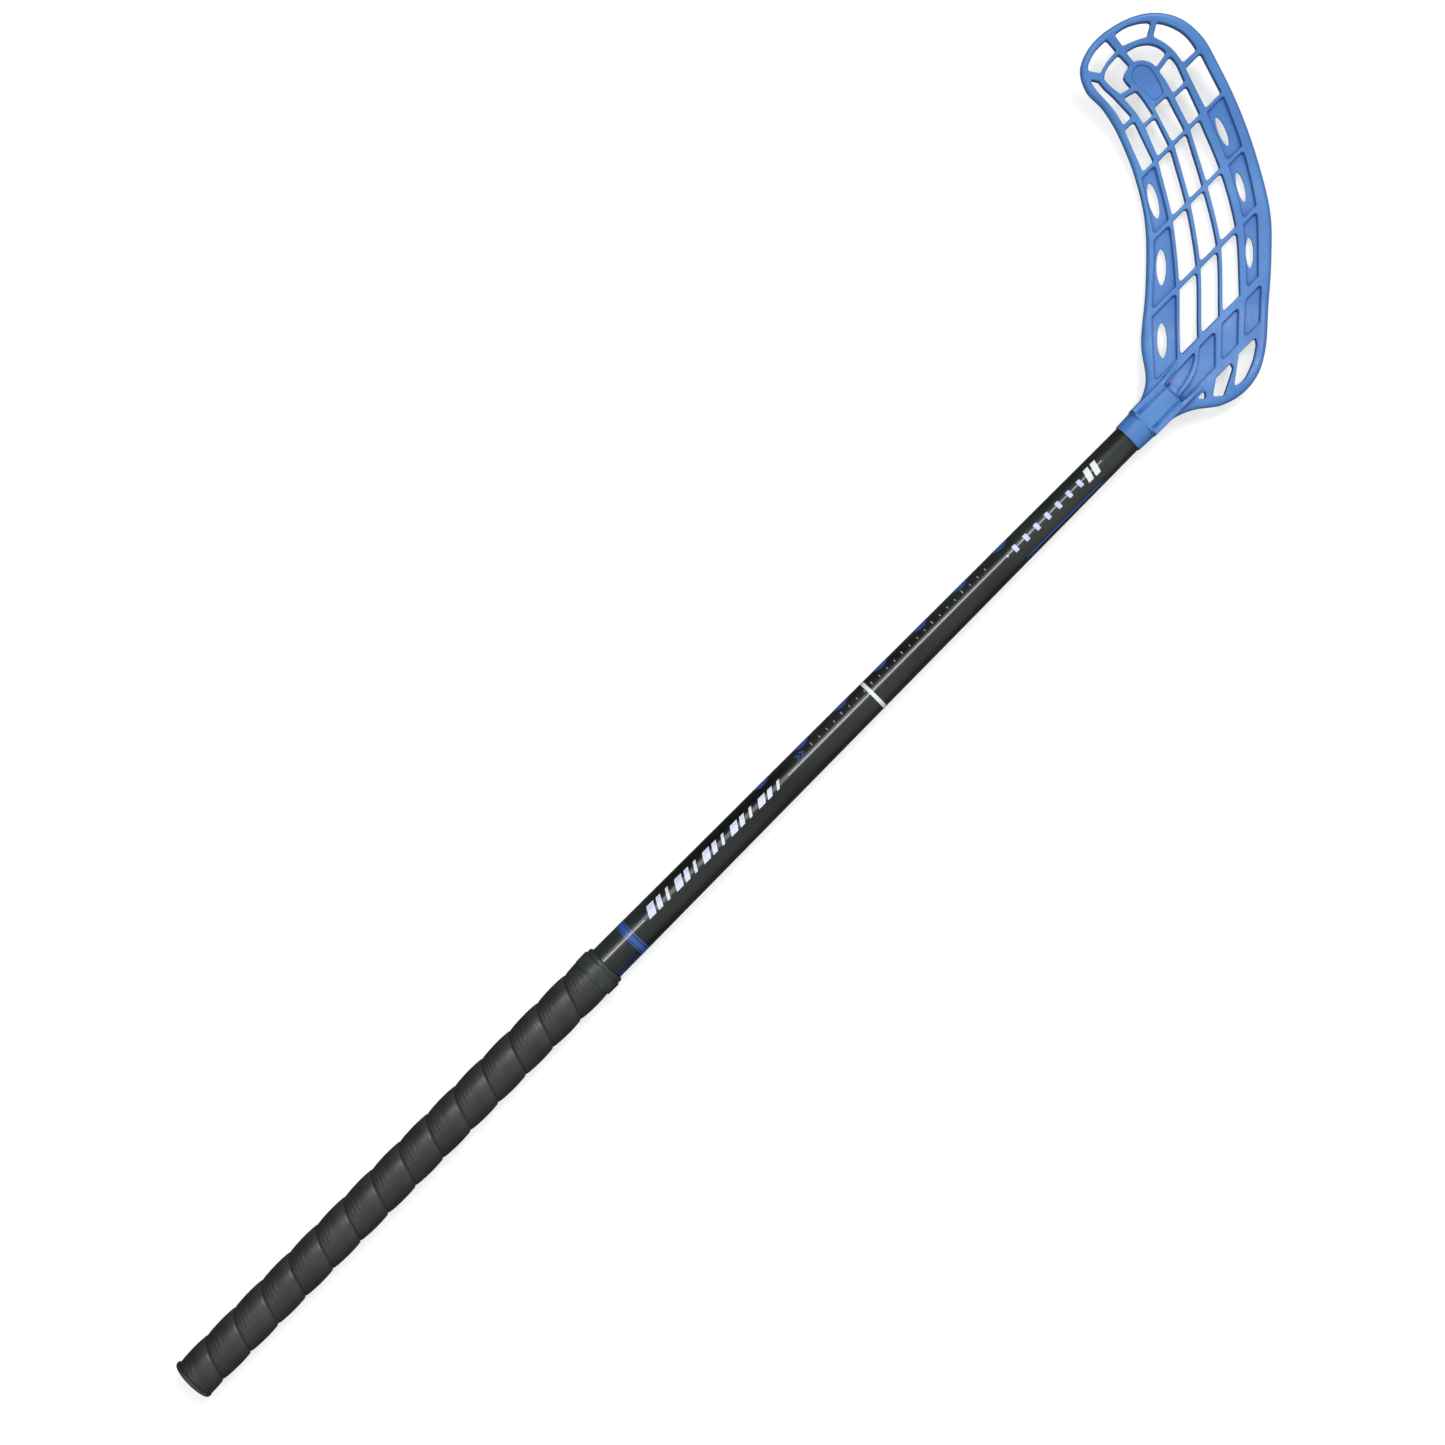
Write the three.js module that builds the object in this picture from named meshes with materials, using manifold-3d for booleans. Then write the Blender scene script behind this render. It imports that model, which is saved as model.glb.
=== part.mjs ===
// A floorball stick: a tapered composite tube with a wrapped grip at one end and a moulded
// lattice blade at the other, lying on a flat surface with the open face of the blade up.
// Millimetres. +X runs from the butt to the blade, +Y towards the tip of the blade, +Z up.

import * as THREE from 'three';
import { mergeVertices } from 'three/addons/utils/BufferGeometryUtils.js';
import { ParametricGeometry } from 'three/addons/geometries/ParametricGeometry.js';
import { TessellateModifier } from 'three/addons/modifiers/TessellateModifier.js';
import Module from 'manifold-3d';

const wasm = await Module();
wasm.setup();

// ---- Driving dimensions ----------------------------------------------------------------

const AXIS_HEIGHT = 16;            // shaft axis above the surface that the stick lies on
const GAP = 0.3;                   // assembly gap between neighbouring pieces
const SEGMENTS = 48;               // facets round the shaft and everything on it
const SMALL_SEGMENTS = 24;         // facets round the screw and its hole

const NECK_MOUTH_X = 909;          // butt face to the mouth of the blade's neck
const TUBE_DEPTH = 40.8;           // how far the tube goes into the neck
const SOCKET_DEPTH = 41.2;
const LIP_DEPTH = 14;              // stretch of the socket that fits the tube closely

const TUBE_RADIUS = 13.15;         // parallel part, under the grip
const TUBE_RADIUS_AT_NECK = 10.25;
const TUBE_WALL = 1.25;

const CAP_FLANGE = 3;              // thickness of the butt cap's flange
const CAP_RADIUS = 16;
const CAP_EDGE = 1.4;              // rounding of the flange's outer edge
const CAP_SPIGOT_LENGTH = 21;
const CAP_SPIGOT_LEAD = 1;         // chamfer that helps the spigot into the tube
const CAP_WALL = 1.5;

const COLLAR_START_X = 389;        // the wrap shows up to here
const COLLAR_BAND = 10;            // wide band of the collar
const COLLAR_LIP = 4;              // narrower lip after the band
const COLLAR_RADIUS = 16;
const COLLAR_LIP_RADIUS = 15.1;
const COLLAR_EDGE = 0.4;           // chamfer of the collar's edges
const COLLAR_END_X = COLLAR_START_X + COLLAR_BAND + COLLAR_LIP;
const WRAP_RADIUS = 15.5;
const WRAP_THIN_RADIUS = 13.9;     // the wrap is pulled thin where it runs under the collar
const WRAP_EDGE = 0.6;
const WRAP_INNER = TUBE_RADIUS + GAP;
const WRAP_END_X = COLLAR_START_X + 4.5;       // the wrap ends under the collar
const TAPE_THICKNESS = 0.4;
const TAPE_END_X = COLLAR_START_X + 11;        // the tape ends on the tube, still under the collar

const NECK_LIP_RADIUS = 11.1;      // outside of the neck at its mouth
const NECK_HALF_WIDTH = 12.9;      // outside of the boxy part of the neck
const NECK_HALF_HEIGHT = 12.5;
const NECK_STEP = 0.6;             // the boxy part starts this much narrower
const NECK_BOX_END = 44;
const NECK_END = 52;
const SOCKET_LIP_RADIUS = 10.6;
const SOCKET_RADIUS = 11.1;
const GLUE_RADIUS = SOCKET_RADIUS - GAP;

const SCREW_X = 30;                // from the neck mouth
const SCREW_SHANK_RADIUS = 1.4;
const SCREW_POINT = 1.5;           // length of the shank's point
const SCREW_HOLE_RADIUS = 1.8;
const SCREW_HOLE_TOP = -5;         // inside the tube, below the shaft axis
const SCREW_HEAD_RADIUS = 2.9;
const SCREW_HEAD_HEIGHT = 1.6;
const SCREW_HEAD_EDGE = 0.8;
const SCREW_REACH = 5.5;           // shank length below the head
const CROSS_RECESS = { length: 3.2, width: 0.7, depth: 0.9 };

const FRAME_HALF = 4.1;            // half thickness of the blade's rim and ribs
const PANEL_HALF = 1.1;            // half thickness of the thin recessed panels
const PAD_HALF = 2.9;              // half thickness of the solid pad near the tip
const PANEL_OVERLAP = 1;           // how far a panel runs into the ribs round it
const RAIL_HALF_WIDTH = 2.3;       // the rails along both sides of the neck
const RAIL_HALF_HEIGHT = 11.6;
const RAIL_END_HALF_HEIGHT = 3.3;
const RAIL_START = 24;             // from the neck mouth
const RAIL_FADE = 42;              // full height up to here
const RAIL_END = 86;
const RAIL_Y = [11.5, -10.7];
const CORNER_RADIUS = 1.8;
const BEND_RADIUS = 12;            // rounds the shallow corners of curved edges
const SHALLOW_TURN = 0.8;          // radians: corners that turn less are shallow

const BLADE_LIE = 57 * Math.PI / 180;   // blade length against the shaft
const DIP_START = 20;              // distances along the blade from the neck mouth
const FLAT_START = 75;
const FLAT_END = 150;
const TIP_END = 271;
const TIP_RISE = 25;               // the hook: how far the tip stands above the flat stretch
const MAX_EDGE = 24;               // longest edge of a blade facet
const TESSELLATE_PASSES = 24;      // enough to bring every edge under MAX_EDGE
const OUTLINE_STEPS = 3;           // points on each stretch of the rim's outline
const CURVE_SEGMENTS = 2;          // points on each rounded corner

// ---- Blade plan, seen from above, measured from the neck mouth -------------------------

const RIM_OUTLINE = [
  [12, -10], [32.5, -13], [46, -18], [62, -29.5], [78, -34.5], [94, -33], [111, -24], [136, -3],
  [162, 21.5], [187, 51], [209, 88.5], [226.5, 133], [231.5, 158.5], [226.5, 179], [211, 198],
  [187, 207.5], [170, 207.3], [155, 201], [149.5, 186], [149, 160], [137, 127], [115.5, 92],
  [84.5, 61], [51.5, 34.5], [37, 17.5], [25, 12.8], [12, 10],
];

// The cross ribs lie parallel to the shaft, one row each.
const ROW_Y = [12.5, 48.5, 84.5, 120.5];
const ROW_HALF_WIDTH = [2.9, 1.9, 1.8, 1.6];

// Lengthwise lines at each cross rib: inner edge of the left rim, four ribs, right rim.
const LINE_X = [
  [40, 76.5, 115, 138],
  [63, 99.5, 129, 150.5],
  [84.5, 120, 146, 166],
  [105.5, 140, 162.5, 181],
  [127, 159.5, 180.5, 194.5],
  [142, 176.5, 199, 214.5],
];
const LINE_HALF_WIDTH = [0, 2.6, 2.9, 2.9, 4.2, 0];   // measured along X
const LINE_STEPS = 4;              // points on each long edge of a cell

const SLOT_PLACE = 0.42;           // from the left to the right edge of its panel
const SLOT_LENGTH = { left: 25, right: 21 };
const SLOT_WIDTH = { left: 7, right: 5.6 };

const TIP_OPENINGS = [
  [[139.5, 122], [151, 150], [158, 150.5], [149.5, 122]],
  [[154.5, 122], [161.5, 142.5], [170.5, 142.5], [164.5, 122]],
  [[169, 122], [175.5, 146.5], [186.5, 146], [179.5, 122]],
  [[184.5, 122], [190, 142], [201, 141.5], [194, 122]],
  [[200.5, 122], [209, 150.5], [223, 150.5], [220.5, 138], [214, 122]],
  [[153, 154.5], [156.5, 177], [156, 192.5], [160.5, 189], [160.5, 170], [160, 155]],
  [[163, 146.5], [165.5, 157], [165.5, 167], [173, 164], [171.5, 146]],
  [[191, 145.5], [195.5, 161.5], [205.5, 164.5], [205.5, 156], [202.5, 145.5]],
  [
    [209.5, 154.5], [211, 168], [208, 181.5], [214.5, 185.5],
    [221, 176.5], [224.5, 165], [224.5, 154.5],
  ],
  [[159.5, 197], [169, 202.5], [182.5, 203], [182.5, 193.5], [171.5, 192.5], [164.5, 190]],
  [[188, 202], [201.5, 197.5], [211.5, 189.5], [205.5, 185], [198.5, 189.5], [188, 192.5]],
  [
    [165.5, 182.5], [167, 187], [173.5, 189.5], [181.5, 189],
    [182, 181], [174, 179.5], [172, 169], [165.5, 171],
  ],
  [[187, 188], [196.5, 185], [203.5, 178], [205.5, 168.5], [196.5, 165.5], [195, 176.5], [188, 181.5]],
];
const PAD = [
  [175.5, 175.5], [185.5, 178.5], [191.5, 174.5], [193, 166.5], [187.5, 150], [177.5, 150.5], [176, 163],
];

const HEEL_OPENINGS = [
  [[51, -14], [60.5, -14], [56.5, -19]],
  [[62, -20], [71.5, -14], [86.5, -14], [84.5, -17], [67.5, -25.5]],
  [[76, -26.5], [96, -14], [111.5, -14], [108, -17.5], [97, -24.5], [84, -28.5]],
];

// Shallow pockets between the two heavy ribs that carry on from the neck.
const HEEL_POCKETS = [
  [[46, 6.5], [56, 9.3], [73.5, 9.3], [67, 4], [56, 0], [46, -1.5]],
  [[46, -5.3], [60, -3], [72, 2], [80, 9], [95.5, 9.5], [74.5, -7.7], [50, -7.7]],
  [[84, -7.7], [103, 9.3], [119, 9.5], [98, -7.7]],
  [[107.5, -7.7], [127.5, 9.5], [142, 9.8], [121, -7.7]],
];

// ---- Meshes and solids -----------------------------------------------------------------

function closedGeometry(geometry) {
  const bare = geometry.clone();
  bare.deleteAttribute('normal');
  bare.deleteAttribute('uv');
  return mergeVertices(bare, 1e-4);
}

function signedVolume(positions, triangles) {
  const corners = [0, 1, 2].map(() => new THREE.Vector3());
  let volume = 0;
  for (let i = 0; i < triangles.length; i += 3) {
    corners.forEach((corner, k) => corner.fromArray(positions, 3 * triangles[i + k]));
    volume += corners[0].dot(corners[1].cross(corners[2])) / 6;
  }
  return volume;
}

function solidFrom(geometry) {
  const closed = closedGeometry(geometry);
  const vertProperties = new Float32Array(closed.attributes.position.array);
  const kept = [];
  for (let i = 0; i < closed.index.count; i += 3) {
    const [a, b, c] = [0, 1, 2].map((k) => closed.index.getX(i + k));
    if (a !== b && b !== c && c !== a) {
      kept.push(a, b, c);
    }
  }
  if (signedVolume(vertProperties, kept) < 0) {
    kept.reverse();
  }
  const triVerts = new Uint32Array(kept);
  return new wasm.Manifold(new wasm.Mesh({ numProp: 3, vertProperties, triVerts }));
}

function geometryFrom(solid) {
  const mesh = solid.getMesh();
  const geometry = new THREE.BufferGeometry();
  const positions = new Float32Array(mesh.vertProperties);
  geometry.setAttribute('position', new THREE.BufferAttribute(positions, 3));
  geometry.setIndex(new THREE.BufferAttribute(new Uint32Array(mesh.triVerts), 1));
  return geometry;
}

// Turns a profile of [along X, radius] pairs about the shaft axis.
function turned(profile) {
  const points = profile.map(([x, radius]) => new THREE.Vector2(radius, x));
  return new THREE.LatheGeometry(points, SEGMENTS).rotateZ(-Math.PI / 2);
}

function ring(outer, inner) {
  return turned([...outer, ...inner.toReversed(), outer[0]]);
}

// The round hole for the neck screw, from below the neck to inside the tube.
function screwHole() {
  const depth = SCREW_HOLE_TOP + AXIS_HEIGHT;
  const upright = new THREE.CylinderGeometry(
    SCREW_HOLE_RADIUS, SCREW_HOLE_RADIUS, depth, SMALL_SEGMENTS,
  ).rotateX(Math.PI / 2);
  return solidFrom(upright.translate(NECK_MOUTH_X + SCREW_X, 0, SCREW_HOLE_TOP - depth / 2));
}

// ---- Shaft, cap, grip and collar -------------------------------------------------------

function tubeRadius(x) {
  const slope = (TUBE_RADIUS - TUBE_RADIUS_AT_NECK) / (NECK_MOUTH_X - COLLAR_END_X);
  return TUBE_RADIUS - slope * Math.max(0, x - COLLAR_END_X);
}

function shaftTube() {
  const stations = [CAP_FLANGE + GAP, COLLAR_END_X, NECK_MOUTH_X, NECK_MOUTH_X + TUBE_DEPTH];
  const outer = stations.map((x) => [x, tubeRadius(x)]);
  const inner = stations.map((x) => [x, tubeRadius(x) - TUBE_WALL]);
  return geometryFrom(solidFrom(ring(outer, inner)).subtract(screwHole()));
}

function buttCap() {
  const spigot = TUBE_RADIUS - TUBE_WALL - GAP;
  const spigotEnd = CAP_FLANGE + CAP_SPIGOT_LENGTH;
  return turned([
    [0, 0], [0, CAP_RADIUS - CAP_EDGE], [0.3 * CAP_EDGE, CAP_RADIUS - 0.3 * CAP_EDGE],
    [CAP_EDGE, CAP_RADIUS], [CAP_FLANGE, CAP_RADIUS],
    [CAP_FLANGE, spigot], [spigotEnd - CAP_SPIGOT_LEAD, spigot], [spigotEnd, spigot - CAP_SPIGOT_LEAD / 2],
    [spigotEnd, spigot - CAP_WALL], [CAP_FLANGE + CAP_WALL, spigot - CAP_WALL],
    [CAP_FLANGE + CAP_WALL, 0],
  ]);
}

function gripWrap() {
  const start = CAP_FLANGE + GAP;
  const outer = [
    [start, WRAP_RADIUS - WRAP_EDGE], [start + WRAP_EDGE, WRAP_RADIUS],
    [COLLAR_START_X - WRAP_EDGE, WRAP_RADIUS], [COLLAR_START_X - GAP, WRAP_THIN_RADIUS],
    [WRAP_END_X, WRAP_THIN_RADIUS],
  ];
  return ring(outer, [[start, WRAP_INNER], [WRAP_END_X, WRAP_INNER]]);
}

// Inner line of the tape: over the thinned end of the wrap, then down on to the tube.
const TAPE_LINE = [
  [COLLAR_START_X + GAP, WRAP_THIN_RADIUS + GAP],
  [WRAP_END_X + GAP, WRAP_THIN_RADIUS + GAP],
  [WRAP_END_X + 2 * GAP, WRAP_INNER],
  [TAPE_END_X, WRAP_INNER],
];

function finishingTape() {
  const outer = TAPE_LINE.map(([x, radius]) => [x, radius + TAPE_THICKNESS]);
  outer[2][0] += TAPE_THICKNESS;
  return ring(outer, TAPE_LINE);
}

function gripCollar() {
  const bandEnd = COLLAR_START_X + COLLAR_BAND;
  const overTape = TAPE_THICKNESS + GAP;
  const outer = [
    [COLLAR_START_X, COLLAR_RADIUS - COLLAR_EDGE], [COLLAR_START_X + COLLAR_EDGE, COLLAR_RADIUS],
    [bandEnd - COLLAR_EDGE, COLLAR_RADIUS], [bandEnd, COLLAR_RADIUS - COLLAR_EDGE],
    [bandEnd, COLLAR_LIP_RADIUS],
    [COLLAR_END_X - COLLAR_EDGE, COLLAR_LIP_RADIUS], [COLLAR_END_X, COLLAR_LIP_RADIUS - COLLAR_EDGE],
  ];
  const inner = [
    [COLLAR_START_X, WRAP_THIN_RADIUS + GAP + overTape],
    [WRAP_END_X + 1, WRAP_THIN_RADIUS + GAP + overTape],
    [WRAP_END_X + 2, WRAP_INNER + overTape],
    [TAPE_END_X + GAP, WRAP_INNER + overTape],
    [TAPE_END_X + GAP, WRAP_INNER],
    [COLLAR_END_X, WRAP_INNER],
  ];
  return ring(outer, inner);
}

// ---- Neck glue and screw ---------------------------------------------------------------

function neckGlue() {
  const start = NECK_MOUTH_X + LIP_DEPTH + 0.5;
  const end = NECK_MOUTH_X + TUBE_DEPTH;
  const outer = [[start, GLUE_RADIUS], [end, GLUE_RADIUS]];
  const inner = [[start, tubeRadius(start) + GAP], [end, tubeRadius(end) + GAP]];
  return geometryFrom(solidFrom(ring(outer, inner)).subtract(screwHole()));
}

function neckScrew() {
  const x = NECK_MOUTH_X + SCREW_X;
  const seat = -NECK_HALF_HEIGHT - GAP;
  const headEnd = seat - SCREW_HEAD_HEIGHT;
  const tip = seat + SCREW_REACH;
  const profile = [
    [0, headEnd], [SCREW_HEAD_RADIUS - SCREW_HEAD_EDGE, headEnd],
    [SCREW_HEAD_RADIUS, headEnd + SCREW_HEAD_EDGE], [SCREW_HEAD_RADIUS, seat],
    [SCREW_SHANK_RADIUS, seat], [SCREW_SHANK_RADIUS, tip - SCREW_POINT], [0, tip],
  ].map(([radius, z]) => new THREE.Vector2(radius, z));
  const blank = new THREE.LatheGeometry(profile, SMALL_SEGMENTS).rotateX(Math.PI / 2);
  let screw = solidFrom(blank.translate(x, 0, 0));
  const { length, width, depth } = CROSS_RECESS;
  for (const [alongX, alongY] of [[length, width], [width, length]]) {
    const arm = new THREE.BoxGeometry(alongX, alongY, 2 * depth).translate(x, 0, headEnd);
    screw = screw.subtract(solidFrom(arm));
  }
  return geometryFrom(screw);
}

// ---- Blade -----------------------------------------------------------------------------

// x of lengthwise line `line` at height y: a smooth curve through its crossings.
function lineX(line, y) {
  const crossings = ROW_Y.map((rowY, k) => new THREE.Vector3(LINE_X[line][k], rowY, 0));
  const curve = new THREE.CatmullRomCurve3(crossings);
  const place = (y - ROW_Y[0]) / (ROW_Y.at(-1) - ROW_Y[0]);
  return curve.getPoint(THREE.MathUtils.clamp(place, 0, 1)).x;
}

// One cell of the lattice, between lines `line` and `line + 1` and rows `row` and `row + 1`.
// Outer outlines run counter-clockwise, which is the way round that lets holes run either way.
function cellCorners(line, row, overlap = 0) {
  const low = ROW_Y[row] + ROW_HALF_WIDTH[row] - overlap;
  const high = ROW_Y[row + 1] - ROW_HALF_WIDTH[row + 1] + overlap;
  const step = (high - low) / (LINE_STEPS - 1);
  const heights = Array.from({ length: LINE_STEPS }, (_, k) => low + step * k);
  const left = heights.map((y) => [lineX(line, y) + LINE_HALF_WIDTH[line] - overlap, y]);
  const right = heights.map((y) => [lineX(line + 1, y) - LINE_HALF_WIDTH[line + 1] + overlap, y]);
  return [...right, ...left.toReversed()];
}

function roundedOutline(corners, target = new THREE.Shape(), sharpRadius = CORNER_RADIUS) {
  const points = corners.map(([x, y]) => new THREE.Vector2(x, y));
  points.forEach((corner, k) => {
    const before = points.at(k - 1).clone().sub(corner);
    const after = points[(k + 1) % points.length].clone().sub(corner);
    const turn = Math.PI - Math.acos(before.dot(after) / (before.length() * after.length()));
    const radius = turn < SHALLOW_TURN ? BEND_RADIUS : sharpRadius;
    const room = 0.45 * Math.min(before.length(), after.length());
    const trim = Math.min(radius * Math.tan(turn / 2), room);
    const start = corner.clone().addScaledVector(before.normalize(), trim);
    const end = corner.clone().addScaledVector(after.normalize(), trim);
    if (k === 0) {
      target.moveTo(start.x, start.y);
    } else {
      target.lineTo(start.x, start.y);
    }
    target.quadraticCurveTo(corner.x, corner.y, end.x, end.y);
  });
  target.closePath();
  return target;
}

// The corners moved away from their centre.
function grownCorners(corners, amount) {
  const points = corners.map(([x, y]) => new THREE.Vector2(x, y));
  const centre = new THREE.Vector2();
  points.forEach((point) => centre.addScaledVector(point, 1 / points.length));
  return points.map((point) => {
    const away = point.clone().sub(centre);
    away.setLength(away.length() + amount);
    return centre.clone().add(away).toArray();
  });
}

function slotIn(line, row) {
  const side = line === 0 ? 'left' : 'right';
  const middle = (ROW_Y[row] + ROW_Y[row + 1]) / 2;
  const across = (y) => {
    const left = lineX(line, y) + LINE_HALF_WIDTH[line];
    const right = lineX(line + 1, y) - LINE_HALF_WIDTH[line + 1];
    return left + SLOT_PLACE * (right - left);
  };
  const direction = new THREE.Vector2(across(middle + 5) - across(middle - 5), 10).normalize();
  const half = direction.clone().multiplyScalar(SLOT_LENGTH[side] / 2);
  // A quadratic curve reaches half way to its control point.
  const bulge = new THREE.Vector2(-direction.y, direction.x).multiplyScalar(SLOT_WIDTH[side]);
  const centre = new THREE.Vector2(across(middle), middle);
  const slot = new THREE.Path();
  slot.moveTo(centre.x - half.x, centre.y - half.y);
  slot.quadraticCurveTo(centre.x - bulge.x, centre.y - bulge.y, centre.x + half.x, centre.y + half.y);
  slot.quadraticCurveTo(centre.x + bulge.x, centre.y + bulge.y, centre.x - half.x, centre.y - half.y);
  return slot;
}

function plate(shape, halfThickness) {
  const options = { depth: 2 * halfThickness, bevelEnabled: false, curveSegments: CURVE_SEGMENTS };
  return solidFrom(new THREE.ExtrudeGeometry(shape, options).translate(0, 0, -halfThickness));
}

// Height of the blade's middle surface above the shaft axis.
function hookHeight(x, y) {
  const along = x * Math.cos(BLADE_LIE) + y * Math.sin(BLADE_LIE);
  const dip = AXIS_HEIGHT - FRAME_HALF;
  const sink = -dip * THREE.MathUtils.smoothstep(along, DIP_START, FLAT_START);
  const rise = Math.max(0, along - FLAT_END) / (TIP_END - FLAT_END);
  return sink + TIP_RISE * rise * rise;
}

function hooked(flat) {
  const fine = new TessellateModifier(MAX_EDGE, TESSELLATE_PASSES).modify(geometryFrom(flat));
  const positions = fine.attributes.position;
  for (let i = 0; i < positions.count; i += 1) {
    positions.setZ(i, positions.getZ(i) + hookHeight(positions.getX(i), positions.getY(i)));
  }
  return solidFrom(fine);
}

function bladeFrame() {
  const outlinePoints = RIM_OUTLINE.map(([x, y]) => new THREE.Vector3(x, y, 0));
  const curve = new THREE.CatmullRomCurve3(outlinePoints, true);
  const outline = curve.getPoints(OUTLINE_STEPS * RIM_OUTLINE.length);
  const shape = new THREE.Shape(outline.map(({ x, y }) => new THREE.Vector2(x, y)));
  for (let row = 0; row < ROW_Y.length - 1; row += 1) {
    for (let line = 0; line < LINE_X.length - 1; line += 1) {
      shape.holes.push(roundedOutline(cellCorners(line, row), new THREE.Path()));
    }
  }
  for (const corners of [...TIP_OPENINGS, ...HEEL_OPENINGS, ...HEEL_POCKETS, PAD]) {
    shape.holes.push(roundedOutline(corners, new THREE.Path()));
  }
  return plate(shape, FRAME_HALF);
}

function sidePanel(line, row) {
  const shape = roundedOutline(cellCorners(line, row, PANEL_OVERLAP));
  shape.holes.push(slotIn(line, row));
  return plate(shape, PANEL_HALF);
}

function pocketFloor(corners, halfThickness) {
  return plate(roundedOutline(grownCorners(corners, PANEL_OVERLAP)), halfThickness);
}

// The neck: round at the mouth, then a step and a boxy part that sinks into the plate.
function neckBody() {
  // [x, half width, half height, squareness: 2 is an ellipse, 4 nearly a rectangle]
  const stations = [
    [0, 0, 0, 2],
    [0, NECK_LIP_RADIUS, NECK_LIP_RADIUS, 2],
    [LIP_DEPTH - 0.5, NECK_LIP_RADIUS + 0.5, NECK_LIP_RADIUS + 0.5, 2],
    [LIP_DEPTH, NECK_HALF_WIDTH - NECK_STEP, NECK_HALF_HEIGHT - 0.2, 3.2],
    [LIP_DEPTH + 12, NECK_HALF_WIDTH, NECK_HALF_HEIGHT, 4],
    [NECK_BOX_END - 3, NECK_HALF_WIDTH, NECK_HALF_HEIGHT, 4],
    [NECK_END, NECK_HALF_WIDTH - 1, FRAME_HALF, 4],
    [NECK_END, 0, 0, 2],
  ];
  const place = (around, along, target) => {
    const [x, width, height, square] = stations[Math.round(along * (stations.length - 1))];
    const angle = 2 * Math.PI * around;
    const rounded = (value) => Math.sign(value) * Math.abs(value) ** (2 / square);
    target.set(x, width * rounded(Math.cos(angle)), height * rounded(Math.sin(angle)));
  };
  return solidFrom(new ParametricGeometry(place, SEGMENTS, stations.length - 1));
}

// A rail along one side of the neck: as tall as the neck, then falling on to the rib beyond it.
function neckRail(y) {
  const endHeight = hookHeight(RAIL_END, y);
  const side = new THREE.Shape([
    new THREE.Vector2(RAIL_START, -RAIL_HALF_HEIGHT),
    new THREE.Vector2(RAIL_FADE, -RAIL_HALF_HEIGHT),
    new THREE.Vector2(RAIL_END, endHeight - RAIL_END_HALF_HEIGHT),
    new THREE.Vector2(RAIL_END, endHeight + RAIL_END_HALF_HEIGHT),
    new THREE.Vector2(RAIL_FADE, RAIL_HALF_HEIGHT),
    new THREE.Vector2(RAIL_START, RAIL_HALF_HEIGHT),
  ]);
  const rail = new THREE.ExtrudeGeometry(side, { depth: 2 * RAIL_HALF_WIDTH, bevelEnabled: false });
  return solidFrom(rail.rotateX(Math.PI / 2).translate(0, y + RAIL_HALF_WIDTH, 0));
}

function socket() {
  return solidFrom(turned([
    [-1, 0], [-1, SOCKET_LIP_RADIUS], [LIP_DEPTH, SOCKET_LIP_RADIUS], [LIP_DEPTH, SOCKET_RADIUS],
    [SOCKET_DEPTH, SOCKET_RADIUS], [SOCKET_DEPTH, 0],
  ]));
}

function blade() {
  let flat = bladeFrame().add(pocketFloor(PAD, PAD_HALF));
  for (let row = 0; row < ROW_Y.length - 1; row += 1) {
    flat = flat.add(sidePanel(0, row)).add(sidePanel(LINE_X.length - 2, row));
  }
  for (const corners of HEEL_POCKETS) {
    flat = flat.add(pocketFloor(corners, PANEL_HALF));
  }
  let body = hooked(flat).add(neckBody());
  for (const y of RAIL_Y) {
    body = body.add(neckRail(y));
  }
  const hollow = body.subtract(socket()).translate(NECK_MOUTH_X, 0, 0);
  return geometryFrom(hollow.subtract(screwHole()));
}

// ---- The assembly ----------------------------------------------------------------------

const MATERIALS = {
  lacquer: { color: 0x141617, roughness: 0.18, metalness: 0.0 },
  wrap: { color: 0x303234, roughness: 0.55, metalness: 0.0 },
  rubber: { color: 0x1d2021, roughness: 0.5, metalness: 0.0 },
  tape: { color: 0x17181a, roughness: 0.4, metalness: 0.0 },
  blade: { color: 0x467dc8, roughness: 0.38, metalness: 0.0 },
  glue: { color: 0xd8cfae, roughness: 0.35, metalness: 0.0 },
  steel: { color: 0xa9adb2, roughness: 0.3, metalness: 1.0 },
};

const PIECES = [
  ['shaft_tube', shaftTube, 'lacquer'],
  ['butt_cap', buttCap, 'rubber'],
  ['grip_wrap', gripWrap, 'wrap'],
  ['finishing_tape', finishingTape, 'tape'],
  ['grip_collar', gripCollar, 'rubber'],
  ['blade', blade, 'blade'],
  ['neck_glue', neckGlue, 'glue'],
  ['neck_screw', neckScrew, 'steel'],
];

const stick = new THREE.Group();
for (const [name, make, material] of PIECES) {
  const mesh = new THREE.Mesh(make(), new THREE.MeshStandardMaterial(MATERIALS[material]));
  mesh.name = name;
  stick.add(mesh);
}

// The origin is under the middle of the stick, on the surface that it lies on.
const box = new THREE.Box3().setFromObject(stick);
const middle = box.getCenter(new THREE.Vector3());
stick.position.set(-middle.x, -middle.y, AXIS_HEIGHT);

export default stick;
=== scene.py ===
import math

import bmesh
import bpy
import numpy as np
from mathutils import Matrix, Vector
from mathutils.geometry import delaunay_2d_cdt


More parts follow.
